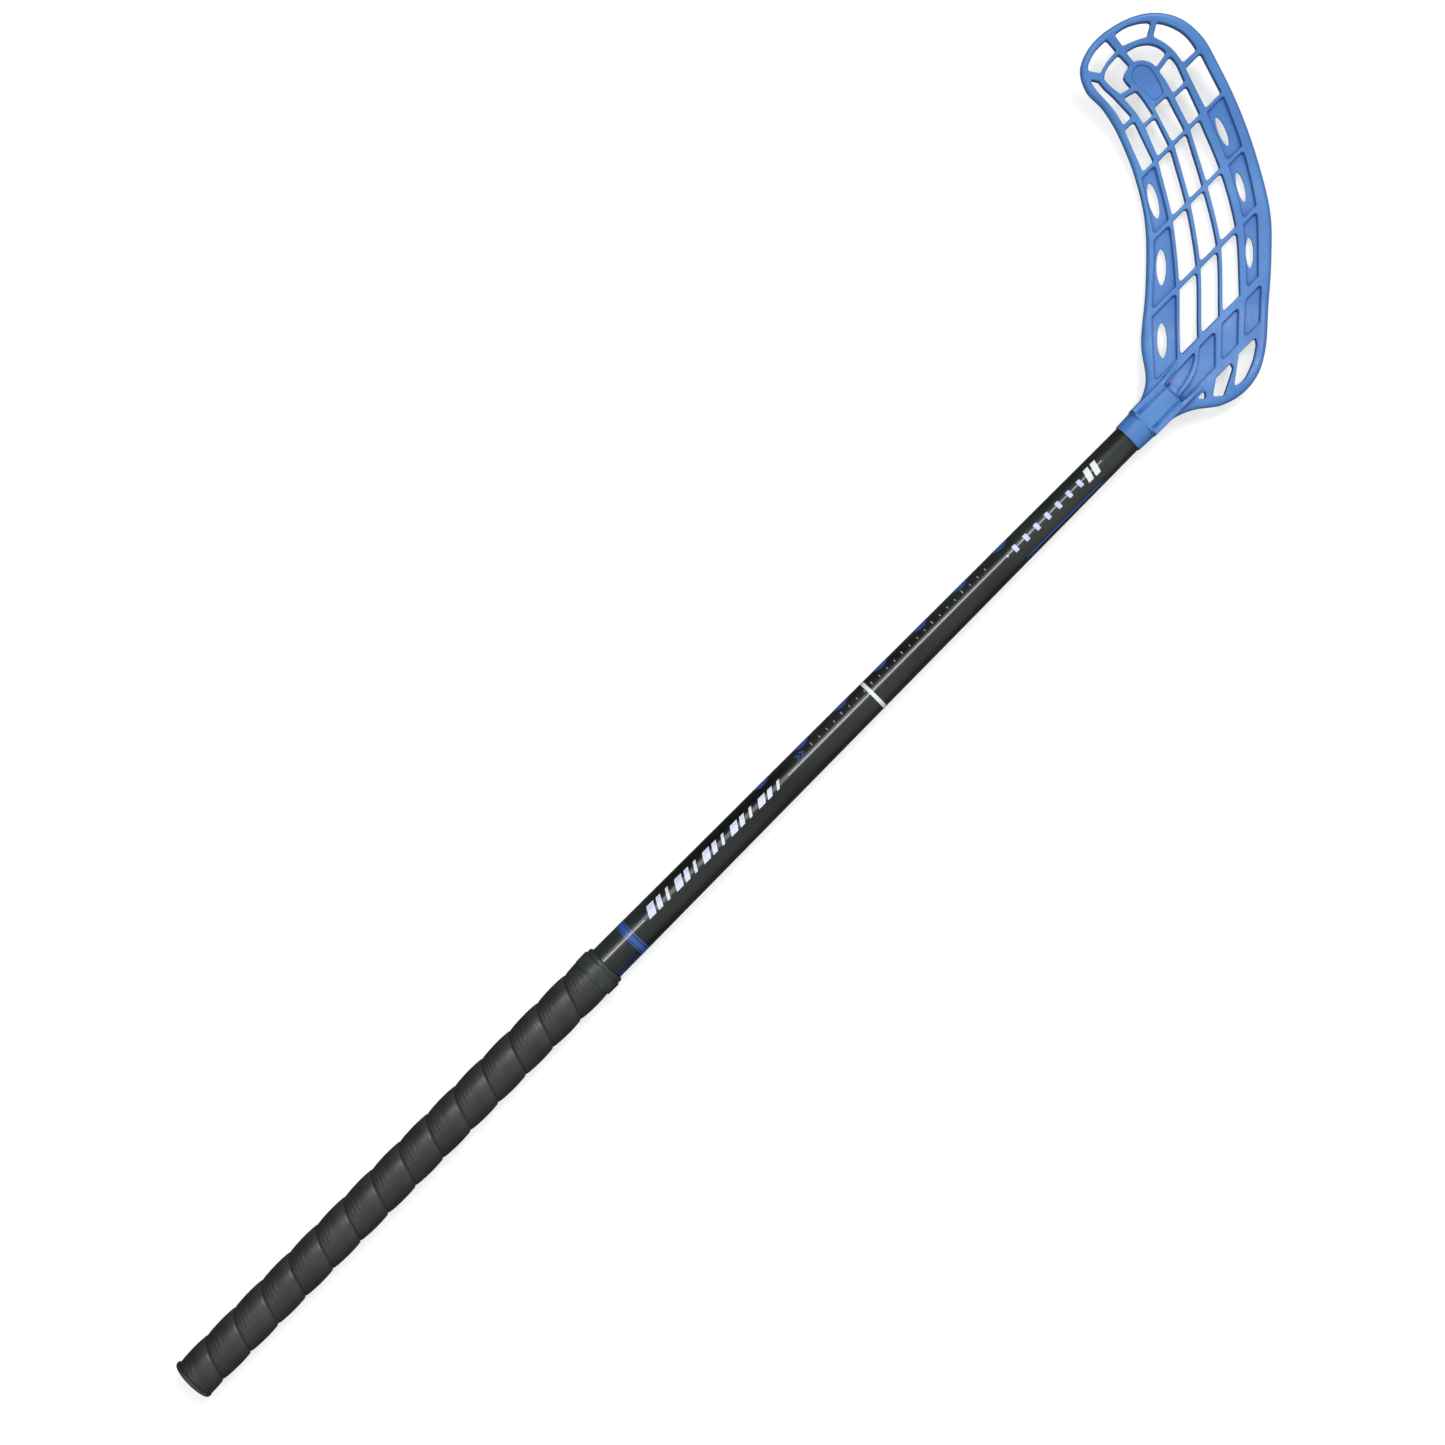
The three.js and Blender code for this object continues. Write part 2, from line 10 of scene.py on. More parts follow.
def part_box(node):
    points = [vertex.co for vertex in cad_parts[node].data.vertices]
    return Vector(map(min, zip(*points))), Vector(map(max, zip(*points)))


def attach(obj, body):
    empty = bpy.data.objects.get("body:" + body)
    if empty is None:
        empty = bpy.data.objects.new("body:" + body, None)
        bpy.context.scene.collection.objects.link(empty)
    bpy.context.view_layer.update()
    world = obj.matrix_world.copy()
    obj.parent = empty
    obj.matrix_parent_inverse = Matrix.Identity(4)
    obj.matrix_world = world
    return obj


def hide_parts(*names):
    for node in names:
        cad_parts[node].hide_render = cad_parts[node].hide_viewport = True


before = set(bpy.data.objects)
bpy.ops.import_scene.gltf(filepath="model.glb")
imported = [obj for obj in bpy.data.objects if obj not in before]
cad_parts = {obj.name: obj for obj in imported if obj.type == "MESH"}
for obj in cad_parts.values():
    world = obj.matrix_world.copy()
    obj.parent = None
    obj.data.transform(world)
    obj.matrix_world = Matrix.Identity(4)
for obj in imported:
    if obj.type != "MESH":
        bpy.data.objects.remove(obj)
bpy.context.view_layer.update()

# A floorball stick lying on a pale floor, open face of the blade up. Shapes are worked out in
# millimetres from the middle of the butt's end face: x along the shaft, y towards the tip of
# the blade, z up. Blade numbers are measured from the mouth of the blade's neck.

MM = 0.001
tube_low, tube_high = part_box("shaft_tube")
AXIS = Vector((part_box("butt_cap")[0].x, (tube_low.y + tube_high.y) / 2, (tube_low.z + tube_high.z) / 2))
STICK_TO_ROW = Matrix.Translation(AXIS) @ Matrix.Scale(MM, 4)
AXIS_HEIGHT = AXIS.z / MM


def span(node):
    """Start, end and outer radius of a round CAD node along the shaft, in millimetres."""
    low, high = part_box(node)
    return (low.x - AXIS.x) / MM, (high.x - AXIS.x) / MM, (high.z - low.z) / 2 / MM


TUBE_START, TUBE_END, TUBE_RADIUS = span("shaft_tube")
WRAP_START, WRAP_END, WRAP_RADIUS = span("grip_wrap")
COLLAR_START, COLLAR_END, COLLAR_RADIUS = span("grip_collar")
_, CAP_END, CAP_RADIUS = span("butt_cap")
NECK_MOUTH = span("blade")[0]

GAP = 0.3
TUBE_RADIUS_AT_NECK = 10.25
TUBE_WALL = 1.25
WRAP_INNER = TUBE_RADIUS + GAP
FINE_SEGMENTS = 128

# ---- Dimensions of the blade ----

FRAME_HALF = 4.1
PANEL_HALF = 1.1
PAD_HALF = 2.9
PANEL_OVERLAP = 1.0
RIM_BEVEL = 4.0                    # where the rim is wide enough for it
RIB_BEVEL = 1.0
FLAT_LEFT = 0.3                    # least flat stretch between two rounded edges
SLOT_BEVEL = 0.5
CORNER_RADIUS = 1.8
CORNER_STEPS = 5
BEND_RADIUS = 40.0
SHALLOW_TURN = 0.6                 # corners that turn less, in radians, are bends of one curve

# Places along the blade, from its neck to its tip, in the direction of its lie.
BLADE_LIE = math.radians(57)
DIP_START = 20.0
FLAT_START = 75.0
FLAT_END = 150.0
TIP_END = 271.0
TIP_RISE = 25.0
BLADE_SPACING = 3.0
RIM_STEPS = 8                      # points on each stretch of the rim's curve

RIM_OUTLINE = [
    (12, -10), (32.5, -12.5), (46, -18), (62, -29.5), (78, -34), (94, -32.5), (111, -24),
    (136, -4), (160.5, 17.5), (182, 40), (203, 75), (217, 107), (226, 137), (230, 158), (226.5, 177.5),
    (214, 194), (193, 204.5), (171, 207), (155.5, 201), (148.5, 188), (148.5, 170), (141.5, 142.5),
    (121.5, 103), (86, 65.5), (54, 38.5), (38, 19.5), (26, 12.8), (12, 10),
]

# The lattice: y of the cross ribs, and x of each lengthwise line where it meets them.
ROW_Y = [12.5, 48.5, 84.5, 120.5]
ROW_HALF_WIDTH = [2.2, 1.6, 1.5, 1.4]
LINE_X = [
    [39, 74.5, 112.5, 136.3],
    [63, 99.5, 129, 150.5],
    [84.5, 120, 146, 166],
    [105.5, 140, 162.5, 181],
    [127, 159.5, 180.5, 194.5],
    [142, 176.5, 199, 214.5],
]
# How far each lengthwise rib reaches before its line and after it, along x.
LINE_SIDES = [(0, 0), (1.7, 1.7), (1.7, 1.7), (1.7, 1.7), (2.6, 4.0), (0, 0)]
LINE_STEPS = 6
SLOT_POINTS = 48
SLOT_SIZES = {"left": (25, 6.8), "right": (21, 5.3)}
SLOT_PLACES = {"left": 0.42, "right": 0.35}
SLOT_BLUNTNESS = 0.12

TIP_OPENINGS = [
    [(139, 121.5), (149.5, 150.5), (158.5, 150), (149.5, 121.5)],
    [(153.5, 121.8), (161, 142), (170.5, 141.5), (164.5, 121.8)],
    [(167.5, 121.8), (174.5, 147), (186, 146.3), (179.3, 121.8)],
    [(183.3, 121.8), (189, 142), (200.3, 141.5), (194, 121.8)],
    [(199.3, 121.8), (207.5, 150.5), (221.8, 150.3), (214.3, 121.8)],
    [
        (151, 153.5), (153.5, 163), (154, 172), (153.8, 184), (155.5, 191.5), (159, 186), (158.6, 180),
        (159.5, 172), (159.5, 153.5),
    ],
    [(158.3, 196.3), (161, 199), (170, 202.3), (181, 202), (181, 192.2), (170.5, 191.6), (163.5, 189.2)],
    [
        (187, 200.5), (196, 199), (205, 194), (210.5, 189), (202.3, 183.8), (196.5, 187), (191, 189.5),
        (186, 191.3),
    ],
    [
        (213.2, 186), (216.3, 182), (219.5, 176), (222, 168.5), (222.3, 161), (221.3, 154), (208.5, 154.5),
        (209.5, 164.5), (208.5, 172), (205.3, 181),
    ],
    [
        (162.5, 184.5), (165.5, 187.2), (172, 189), (180.7, 189.3), (181, 179), (176, 177.8), (172.8, 176),
        (172, 172.5), (172.3, 167.5), (164, 169.8), (162.5, 178),
    ],
    [
        (185, 187), (194, 184.5), (200.5, 179.5), (204, 173.5), (205, 167.3), (193.7, 165.3), (192.7, 171),
        (189.5, 175.7), (184.7, 178.7),
    ],
    [(163.7, 166.3), (173.3, 163.5), (173, 157), (171, 144.3), (161.5, 144.3), (163.3, 153)],
    [(193, 161.8), (205.3, 163.7), (205.3, 157), (201.3, 144.7), (190, 144.7), (192.3, 154)],
]
PAD = [
    (177.5, 149.8), (176.3, 163), (175.8, 169), (177, 172.3), (179.7, 174.6), (183, 175.3), (186.3, 174),
    (188.9, 170.8), (190, 166), (188.3, 157), (185.5, 149.3),
]
HEEL_OPENINGS = [
    [(52.5, -14), (61, -14), (57, -18.5)],
    [(61.5, -21), (72, -13.6), (87, -13.6), (85.5, -17), (67.5, -25.8)],
    [(76, -26.7), (95.5, -13), (112, -13.4), (109.5, -17), (100, -23), (86, -28.3)],
]
HEEL_POCKETS = [
    [(44, 6.3), (56, 9), (75.5, 9.3), (71, 6), (64.5, 2.5), (56, 0), (44, -2)],
    [(42, -5), (57, -3.6), (68, 0), (80.5, 9.5), (96.5, 9.5), (77.5, -7.7), (42, -7.9)],
    [(83, -7.8), (103, 9.4), (120, 9.6), (100, -7.8)],
    [(106.5, -7.8), (126.5, 9.4), (142.5, 9.8), (122.5, -7.8)],
]

# ---- Dimensions of the neck ----

# Along the neck: distance from the mouth, half width, half height, squareness of the section.
NECK_STATIONS = [
    (0, 10.8, 10.8, 2), (0.5, 11.1, 11.1, 2), (13.2, 11.6, 11.6, 2),
    (14.4, 11.9, 12, 3), (26, 12, 12.3, 4), (41.6, 12, 12.3, 4),
    (42.8, 11.7, 11.2, 4), (45, 10.8, 3.2, 4), (48, 10, 2.5, 4),
]
NECK_STEP = 0.6
NECK_POINTS = 160
GROOVE_Y = 6.9
GROOVE_WIDTH = 0.8
GROOVE_DEPTH = 1.3
GROOVE_START = 16.0
RAIL_START = 15.0
RAIL_FADE = 36.0
RAIL_END = 68.0
RAIL_HALF_WIDTH = 2.0
RAIL_HALF_HEIGHT = 12.35
RAIL_END_HALF_HEIGHT = 3.3
RAIL_SQUARENESS = 5
RAIL_POINTS = 48
RAILS = [(10.2, 12.4), (-10.0, -10.8)]       # y where a rail leaves the neck and where it ends
SOCKET_DEPTH = 41.2
SOCKET_LIP_DEPTH = 14.0
SOCKET_LIP_RADIUS = 10.6
SOCKET_RADIUS = 11.1
SCREW_X = 30.0
SCREW_HOLE_RADIUS = 1.8
SCREW_HOLE_TOP = -5.0
SCREW_HOLE_SEGMENTS = 32

# ---- Dimensions of the grip and the collar ----

WRAP_PITCH = 26.7
# Where the wrap's surface has points across one turn, closest together at the seam.
WRAP_ACROSS = [
    0, 0.012, 0.03, 0.055, 0.09, 0.14, 0.2, 0.28, 0.37, 0.47, 0.57, 0.67, 0.76, 0.84, 0.9, 0.94, 0.965,
    0.98, 0.992,
]
WRAP_AROUND = 96
WRAP_CROWN = 0.75
WRAP_SEAM_DEPTH = 0.75
WRAP_UNDER_COLLAR = 13.9
WRAP_LEAD = 1.4                    # turns of wrap before the butt


# ---- Curves and outlines ----

def catmull_rom(points, closed, place):
    """Point of a centripetal Catmull-Rom curve; place is counted in stretches from the first point."""
    count = len(points)
    start = int(math.floor(place))
    if not closed:
        start = min(max(start, 0), count - 2)
    share = place - start

    def at(index):
        if closed:
            return np.array(points[index % count], float)
        if index < 0:
            return 2 * np.array(points[0], float) - points[1]
        if index >= count:
            return 2 * np.array(points[-1], float) - points[-2]
        return np.array(points[index], float)

    p0, p1, p2, p3 = (at(start + k) for k in (-1, 0, 1, 2))
    d0, d1, d2 = (math.sqrt(np.linalg.norm(b - a)) for a, b in ((p0, p1), (p1, p2), (p2, p3)))
    t1 = ((p1 - p0) / d0 - (p2 - p0) / (d0 + d1) + (p2 - p1) / d1) * d1
    t2 = ((p2 - p1) / d1 - (p3 - p1) / (d1 + d2) + (p3 - p2) / d2) * d1
    cubic = 2 * p1 - 2 * p2 + t1 + t2
    square = -3 * p1 + 3 * p2 - 2 * t1 - t2
    return ((cubic * share + square) * share + t1) * share + p1


def line_x(line, y):
    """x of a lengthwise line of the lattice at height y."""
    crossings = list(zip(LINE_X[line], ROW_Y))
    place = (y - ROW_Y[0]) / (ROW_Y[-1] - ROW_Y[0]) * (len(ROW_Y) - 1)
    return catmull_rom(crossings, False, min(max(place, 0), len(ROW_Y) - 1))[0]


def cell_edges(line, y):
    """x of both sides of the cells that follow a lengthwise line, at height y."""
    return line_x(line, y) + LINE_SIDES[line][1], line_x(line + 1, y) - LINE_SIDES[line + 1][0]


def cell_corners(line, row, overlap=0.0):
    """Outline of one cell of the lattice, between two lengthwise lines and two cross ribs."""
    low = ROW_Y[row] + ROW_HALF_WIDTH[row] - overlap
    high = ROW_Y[row + 1] - ROW_HALF_WIDTH[row + 1] + overlap
    heights = [low + (high - low) * k / (LINE_STEPS - 1) for k in range(LINE_STEPS)]
    left = [(cell_edges(line, y)[0] - overlap, y) for y in heights]
    right = [(cell_edges(line, y)[1] + overlap, y) for y in heights]
    return right + left[::-1]


def corner_curve(middle, before, after, trim, steps):
    """Points of the quadratic curve that rounds a corner, from trim before it to trim after it."""
    start = middle + before / np.linalg.norm(before) * trim
    end = middle + after / np.linalg.norm(after) * trim
    return [
        (1 - t) ** 2 * start + 2 * t * (1 - t) * middle + t * t * end for t in np.linspace(0, 1, steps)
    ]


def rounded(corners):
    """The closed outline through the corners, with each corner rounded by a quadratic curve."""
    outline = []
    count = len(corners)
    for k, corner in enumerate(corners):
        middle = np.array(corner, float)
        before = np.array(corners[k - 1], float) - middle
        after = np.array(corners[(k + 1) % count], float) - middle
        lengths = np.linalg.norm(before), np.linalg.norm(after)
        turn = math.pi - math.acos(np.clip(before @ after / (lengths[0] * lengths[1]), -1, 1))
        radius = BEND_RADIUS if turn < SHALLOW_TURN else CORNER_RADIUS
        trim = min(radius * math.tan(turn / 2), 0.45 * min(lengths))
        outline.extend(corner_curve(middle, before, after, trim, CORNER_STEPS))
    return np.array(outline)


def grown(corners, amount):
    """The corners moved away from their centre."""
    points = np.array(corners, float)
    away = points - points.mean(axis=0)
    return points + away / np.linalg.norm(away, axis=1)[:, None] * amount


def slot_outline(line, row):
    """The lens-shaped slot through a side panel, its ends slightly blunted."""
    panel = "left" if line == 0 else "right"
    length, width = SLOT_SIZES[panel]
    middle = (ROW_Y[row] + ROW_Y[row + 1]) / 2

    def across(y):
        left, right = cell_edges(line, y)
        return left + SLOT_PLACES[panel] * (right - left)

    centre = np.array((across(middle), middle))
    direction = np.array((across(middle + 5) - across(middle - 5), 10.0))
    direction /= np.linalg.norm(direction)
    side = np.array((-direction[1], direction[0]))
    outline = []
    for turn in np.linspace(0, math.tau, SLOT_POINTS, endpoint=False):
        along = length / 2 * math.cos(turn)
        aside = width / 2 * math.sin(turn) * abs(math.sin(turn)) ** SLOT_BLUNTNESS
        outline.append(centre + direction * along + side * aside)
    return np.array(outline)


def disc(x, y, radius, corners=32):
    """Outline of a round disc."""
    angles = [math.tau * k / corners for k in range(corners)]
    return [(x + radius * math.cos(a), y + radius * math.sin(a)) for a in angles]


def resampled(loop, spacing):
    """The closed loop with points added on every stretch that is longer than the spacing."""
    points = []
    for start, end in zip(loop, np.roll(loop, -1, axis=0)):
        length = np.linalg.norm(end - start)
        if length < 1e-4:
            continue
        steps = max(1, math.ceil(length / spacing))
        points.extend(start + (end - start) * k / steps for k in range(steps))
    return np.array(points)


def turned_area(loop):
    """Twice the loop's area, positive when it runs counter-clockwise."""
    following = np.roll(loop, -1, axis=0)
    return np.sum(loop[:, 0] * following[:, 1] - loop[:, 1] * following[:, 0])


def left_normals(loop):
    """Normals to the left of a closed loop, lengthened at corners so that offset edges stay parallel."""
    def left(edges):
        return np.column_stack((-edges[:, 1], edges[:, 0])) / np.linalg.norm(edges, axis=1)[:, None]

    arriving = left(loop - np.roll(loop, 1, axis=0))
    leaving = left(np.roll(loop, -1, axis=0) - loop)
    bisector = arriving + leaving
    bisector /= np.linalg.norm(bisector, axis=1)[:, None]
    return bisector / np.maximum(0.6, np.sum(bisector * leaving, axis=1))[:, None]


def inside(points, loops):
    """Which points lie inside an odd number of the loops."""
    crossings = np.zeros(len(points), int)
    x = points[:, 0, None]
    y = points[:, 1, None]
    for loop in loops:
        start, end = loop, np.roll(loop, -1, axis=0)
        rise = end[:, 1] - start[:, 1]
        rise = np.where(rise == 0, 1e-12, rise)
        meets = start[:, 0] + (y - start[:, 1]) * (end[:, 0] - start[:, 0]) / rise
        straddles = (start[:, 1] > y) != (end[:, 1] > y)
        crossings += np.sum(straddles & (x < meets), axis=1)
    return crossings % 2 == 1


# ---- Meshes: each is a pair of lists, points and faces ----

def joined(parts):
    """Several meshes as one."""
    points, faces = [], []
    for part_points, part_faces in parts:
        first = len(points)
        points.extend(part_points)
        faces.extend([tuple(first + k for k in face) for face in part_faces])
    return points, faces


def face_grid(loops, spacing):
    """Points inside the loops on a square grid, clear of the loops themselves."""
    edge = np.vstack(loops)
    low, high = edge.min(axis=0), edge.max(axis=0)
    across = np.arange(low[0], high[0], spacing)
    up = np.arange(low[1], high[1], spacing)
    grid = np.array([(x, y) for x in across for y in up]).reshape(-1, 2)
    grid = grid[inside(grid, loops)]
    if len(grid) == 0:
        return grid
    nearest = np.array([np.min(np.sum((edge - point) ** 2, axis=1)) for point in grid])
    return grid[nearest > (0.6 * spacing) ** 2]


def fitting_bevel(outer, holes, bevel, hole_bevel):
    """The outer edge's bevel at each of its points, smaller where a hole comes close."""
    if bevel == 0 or not holes:
        return np.full(len(outer), float(bevel))
    edges = np.vstack(holes)
    room = np.array([math.sqrt(np.min(np.sum((edges - point) ** 2, axis=1))) for point in outer])
    fitting = np.minimum(bevel, room - hole_bevel - FLAT_LEFT)
    for _ in range(6):
        fitting = np.minimum(fitting, (np.roll(fitting, 1) + fitting + np.roll(fitting, -1)) / 3)
    return fitting


def plate(outer, holes, half_thickness, outer_bevel, hole_bevel, spacing, bevel_steps=5):
    """A flat plate with holes and rounded edges, its middle at z 0."""
    outer = np.array(outer, float)
    loops = [resampled(outer if turned_area(outer) > 0 else outer[::-1], spacing)]
    for hole in holes:
        hole = np.array(hole, float)
        loops.append(resampled(hole if turned_area(hole) < 0 else hole[::-1], spacing))
    bevels = [fitting_bevel(loops[0], loops[1:], outer_bevel, hole_bevel)]
    bevels.extend(np.full(len(loop), float(hole_bevel)) for loop in loops[1:])

    points, faces, rims, lower_rims = [], [], [], []
    for loop, bevel in zip(loops, bevels):
        quarter = np.linspace(0, math.pi / 2, bevel_steps + 1) if bevel.max() > 0 else [0.0]
        upper = [(bevel * (1 - math.cos(a)), half_thickness - bevel * (1 - math.sin(a))) for a in quarter]
        rows = [(inset, -height) for inset, height in reversed(upper)] + upper
        normals = left_normals(loop)
        first = len(points)
        count = len(loop)
        for inset, height in rows:
            places = loop + normals * inset[:, None]
            points.extend((x, y, z) for (x, y), z in zip(places, height))
        for row in range(len(rows) - 1):
            for k in range(count):
                a = first + row * count + k
                b = first + row * count + (k + 1) % count
                faces.append((a, b, b + count, a + count))
        rims.append([first + (len(rows) - 1) * count + k for k in range(count)])
        lower_rims.append([first + k for k in range(count)])

    # Vectors hold 32-bit numbers, so the loops are rounded the same way before they are compared.
    flat_loops = [np.array([points[k][:2] for k in rim], np.float32).astype(float) for rim in rims]
    grid = face_grid(flat_loops, spacing)
    flat = [Vector(p) for loop in flat_loops for p in loop] + [Vector(p) for p in grid]
    top = [k for rim in rims for k in rim]
    bottom = [k for rim in lower_rims for k in rim]
    for x, y in grid:
        top.append(len(points))
        points.append((x, y, half_thickness))
        bottom.append(len(points))
        points.append((x, y, -half_thickness))
    edges, first = [], 0
    for loop in flat_loops:
        count = len(loop)
        edges.extend((first + k, first + (k + 1) % count) for k in range(count))
        first += count
    placed, _, triangles, sources, _, _ = delaunay_2d_cdt(flat, edges, [], 1, 1e-6)
    placed = np.array([tuple(point) for point in placed])
    centres = np.array([placed[face].mean(axis=0) for face in triangles])
    for face, kept in zip(triangles, inside(centres, flat_loops)):
        if kept:
            corners = [sources[k][0] for k in face]
            faces.append(tuple(top[k] for k in corners))
            faces.append(tuple(bottom[k] for k in reversed(corners)))
    return points, faces


def loft(rings):
    """A closed skin through rings of points, with flat ends."""
    count = len(rings[0])
    points = [point for ring in rings for point in ring]
    faces = []
    for row in range(len(rings) - 1):
        for k in range(count):
            a = row * count + k
            b = row * count + (k + 1) % count
            faces.append((a, b, b + count, a + count))
    faces.append(tuple(reversed(range(count))))
    faces.append(tuple(range(len(points) - count, len(points))))
    return points, faces


def circle(x, radius):
    """Points of a circle round the shaft axis."""
    return [(x, y, z) for y, z in disc(0, 0, radius, FINE_SEGMENTS)]


def turned(profile):
    """A closed profile of (x, radius) pairs, all off the axis, turned about the shaft axis."""
    points = [point for x, radius in profile for point in circle(x, radius)]
    faces = []
    for row in range(len(profile)):
        here = row * FINE_SEGMENTS
        there = (row + 1) % len(profile) * FINE_SEGMENTS
        for k in range(FINE_SEGMENTS):
            following = (k + 1) % FINE_SEGMENTS
            faces.append((here + k, here + following, there + following, there + k))
    return points, faces


def turned_solid(profile):
    """A solid of revolution: (x, radius) pairs from one end to the other, closed by flat ends."""
    return loft([circle(x, radius) for x, radius in profile])


def filleted(profile, radius):
    """A closed profile with its corners rounded."""
    outline = []
    for k, corner in enumerate(profile):
        middle = np.array(corner, float)
        before = np.array(profile[k - 1], float) - middle
        after = np.array(profile[(k + 1) % len(profile)], float) - middle
        trim = min(radius, 0.45 * np.linalg.norm(before), 0.45 * np.linalg.norm(after))
        outline.extend(tuple(point) for point in corner_curve(middle, before, after, trim, 3))
    return outline


def mesh_from(part):
    """A Blender mesh of the part with its faces pointing out."""
    points, faces = part
    mesh = bpy.data.meshes.new("part")
    mesh.from_pydata([tuple(p) for p in points], [], faces)
    work = bmesh.new()
    work.from_mesh(mesh)
    bmesh.ops.remove_doubles(work, verts=work.verts, dist=1e-5)
    bmesh.ops.recalc_face_normals(work, faces=work.faces)
    work.to_mesh(mesh)
    work.free()
    return mesh


def new_object(name, data):
    thing = bpy.data.objects.new(name, data)
    bpy.context.scene.collection.objects.link(thing)
    return thing


def combined(mesh, other, operation):
    """The union or difference of two closed meshes, as a new mesh."""
    body = new_object("body", mesh)
    tool = new_object("tool", other)
    modifier = body.modifiers.new("cut", "BOOLEAN")
    modifier.operation = operation
    modifier.solver = "MANIFOLD"
    modifier.object = tool
    result = bpy.data.meshes.new_from_object(body.evaluated_get(bpy.context.evaluated_depsgraph_get()))
    for thing in (body, tool):
        bpy.data.objects.remove(thing)
    return result


def add_piece(name, mesh, material, slot, stands_for=(), sharp_angle=35):
    """Puts a finished mesh, still in millimetres, into the scene as one piece of the stick."""
    mesh.transform(STICK_TO_ROW)
    mesh.name = name
    mesh.materials.clear()
    mesh.materials.append(material)
    mesh.shade_smooth()
    mesh.set_sharp_from_angle(angle=math.radians(sharp_angle))
    piece = new_object(name, mesh)
    normals = piece.modifiers.new("weighted_normals", "WEIGHTED_NORMAL")
    normals.keep_sharp = True
    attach(piece, "root")
    for node in stands_for:
        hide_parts(node)
    return piece


# ---- Materials ----

def colour(red, green, blue):
    """A display colour from 0 to 255 as the linear colour that shaders take."""
    def linear(value):
        value /= 255
        return value / 12.92 if value <= 0.04045 else ((value + 0.055) / 1.055) ** 2.4

    return linear(red), linear(green), linear(blue), 1.0


class Finish:
    """A material and short ways to add nodes to it."""

    def __init__(self, name, **constants):
        self.material = bpy.data.materials.new(name)
        self.material.use_nodes = True
        self.tree = self.material.node_tree
        self.surface = self.tree.nodes["Principled BSDF"]
        for socket, value in constants.items():
            self.surface.inputs[socket.replace("_", " ")].default_value = value
        self.place = self.add("ShaderNodeTexCoord").outputs["Object"]

    def add(self, kind, inputs=None, **settings):
        node = self.tree.nodes.new(kind)
        for key, value in settings.items():
            setattr(node, key, value)
        for key, value in (inputs or {}).items():
            if isinstance(value, bpy.types.NodeSocket):
                self.tree.links.new(value, node.inputs[key])
            else:
                node.inputs[key].default_value = value
        return node

    def math(self, operation, first, second=0.0):
        return self.add("ShaderNodeMath", {0: first, 1: second}, operation=operation).outputs[0]

    def noise(self, scale, detail=2.0, roughness=0.5, place=None):
        inputs = {"Vector": place or self.place, "Scale": scale, "Detail": detail, "Roughness": roughness}
        return self.add("ShaderNodeTexNoise", inputs).outputs["Fac"]

    def stretched(self, along, across, up):
        """The place on the object with each direction scaled, for marks that run one way."""
        mapping = self.add("ShaderNodeMapping", {"Vector": self.place})
        mapping.inputs["Scale"].default_value = (along, across, up)
        return mapping.outputs[0]

    def from_axis(self):
        """Place from the butt's middle: along the shaft, across it and up, in metres."""
        parts = self.add("ShaderNodeSeparateXYZ", {0: self.place})
        return [self.math("SUBTRACT", parts.outputs[k], AXIS[k]) for k in range(3)]

    def remap(self, value, low, high, to_low, to_high):
        inputs = {"Value": value, 1: low, 2: high, 3: to_low, 4: to_high}
        return self.add("ShaderNodeMapRange", inputs, interpolation_type="SMOOTHSTEP").outputs[0]

    def mix(self, share, first, second):
        return self.add("ShaderNodeMix", {0: share, 6: first, 7: second}, data_type="RGBA").outputs[2]

    def bump(self, height, strength, distance, onto=None):
        inputs = {"Height": height, "Strength": strength, "Distance": distance}
        if onto is not None:
            inputs["Normal"] = onto
        return self.add("ShaderNodeBump", inputs).outputs[0]

    def use(self, base=None, roughness=None, normal=None):
        for socket, value in (("Base Color", base), ("Roughness", roughness), ("Normal", normal)):
            if value is not None:
                self.tree.links.new(value, self.surface.inputs[socket])
        return self.material


def blade_plastic():
    """Satin injection-moulded polyethylene: soft clouding, fine grain and scuffs, with a painted highlight
    on convex edges and painted shade in the recesses.
    """
    finish = Finish("satin_polyethylene", Specular_IOR_Level=0.4, Subsurface_Weight=0.06,
                    Subsurface_Scale=0.003)
    finish.surface.inputs["Subsurface Radius"].default_value = (0.3, 0.6, 1.0)
    cloud = finish.noise(26, detail=4)
    base = finish.mix(finish.remap(cloud, 0.3, 0.7, 0, 1), colour(61, 108, 170), colour(72, 123, 183))
    # Painted highlight: convex edges, where pointiness is high, turn a paler blue.
    edge = finish.add("ShaderNodeNewGeometry").outputs["Pointiness"]
    base = finish.mix(finish.remap(edge, 0.5, 0.6, 0, 0.4), base, colour(104, 152, 208))
    # Painted shade: walls, inner corners and recess floors turn a deep blue where ambient occlusion finds
    # surfaces close by.
    recess_shade = finish.add("ShaderNodeAmbientOcclusion", {"Distance": 0.007}, samples=8, only_local=True)
    base = finish.mix(finish.remap(recess_shade.outputs["AO"], 0.35, 0.95, 0.8, 0), base, colour(34, 70, 158))
    scuff = finish.noise(90, detail=6, roughness=0.7, place=finish.stretched(1.0, 0.25, 1.0))
    scuff = finish.remap(scuff, 0.6, 0.74, 0, 0.3)
    base = finish.mix(scuff, base, colour(110, 156, 208))
    roughness = finish.remap(finish.noise(220, detail=3), 0.3, 0.7, 0.34, 0.48)
    grain = finish.noise(1500, detail=2)
    normal = finish.bump(grain, 0.25, 0.0002)
    normal = finish.bump(scuff, 0.2, 0.0001, onto=normal)
    return finish.use(base, roughness, normal)


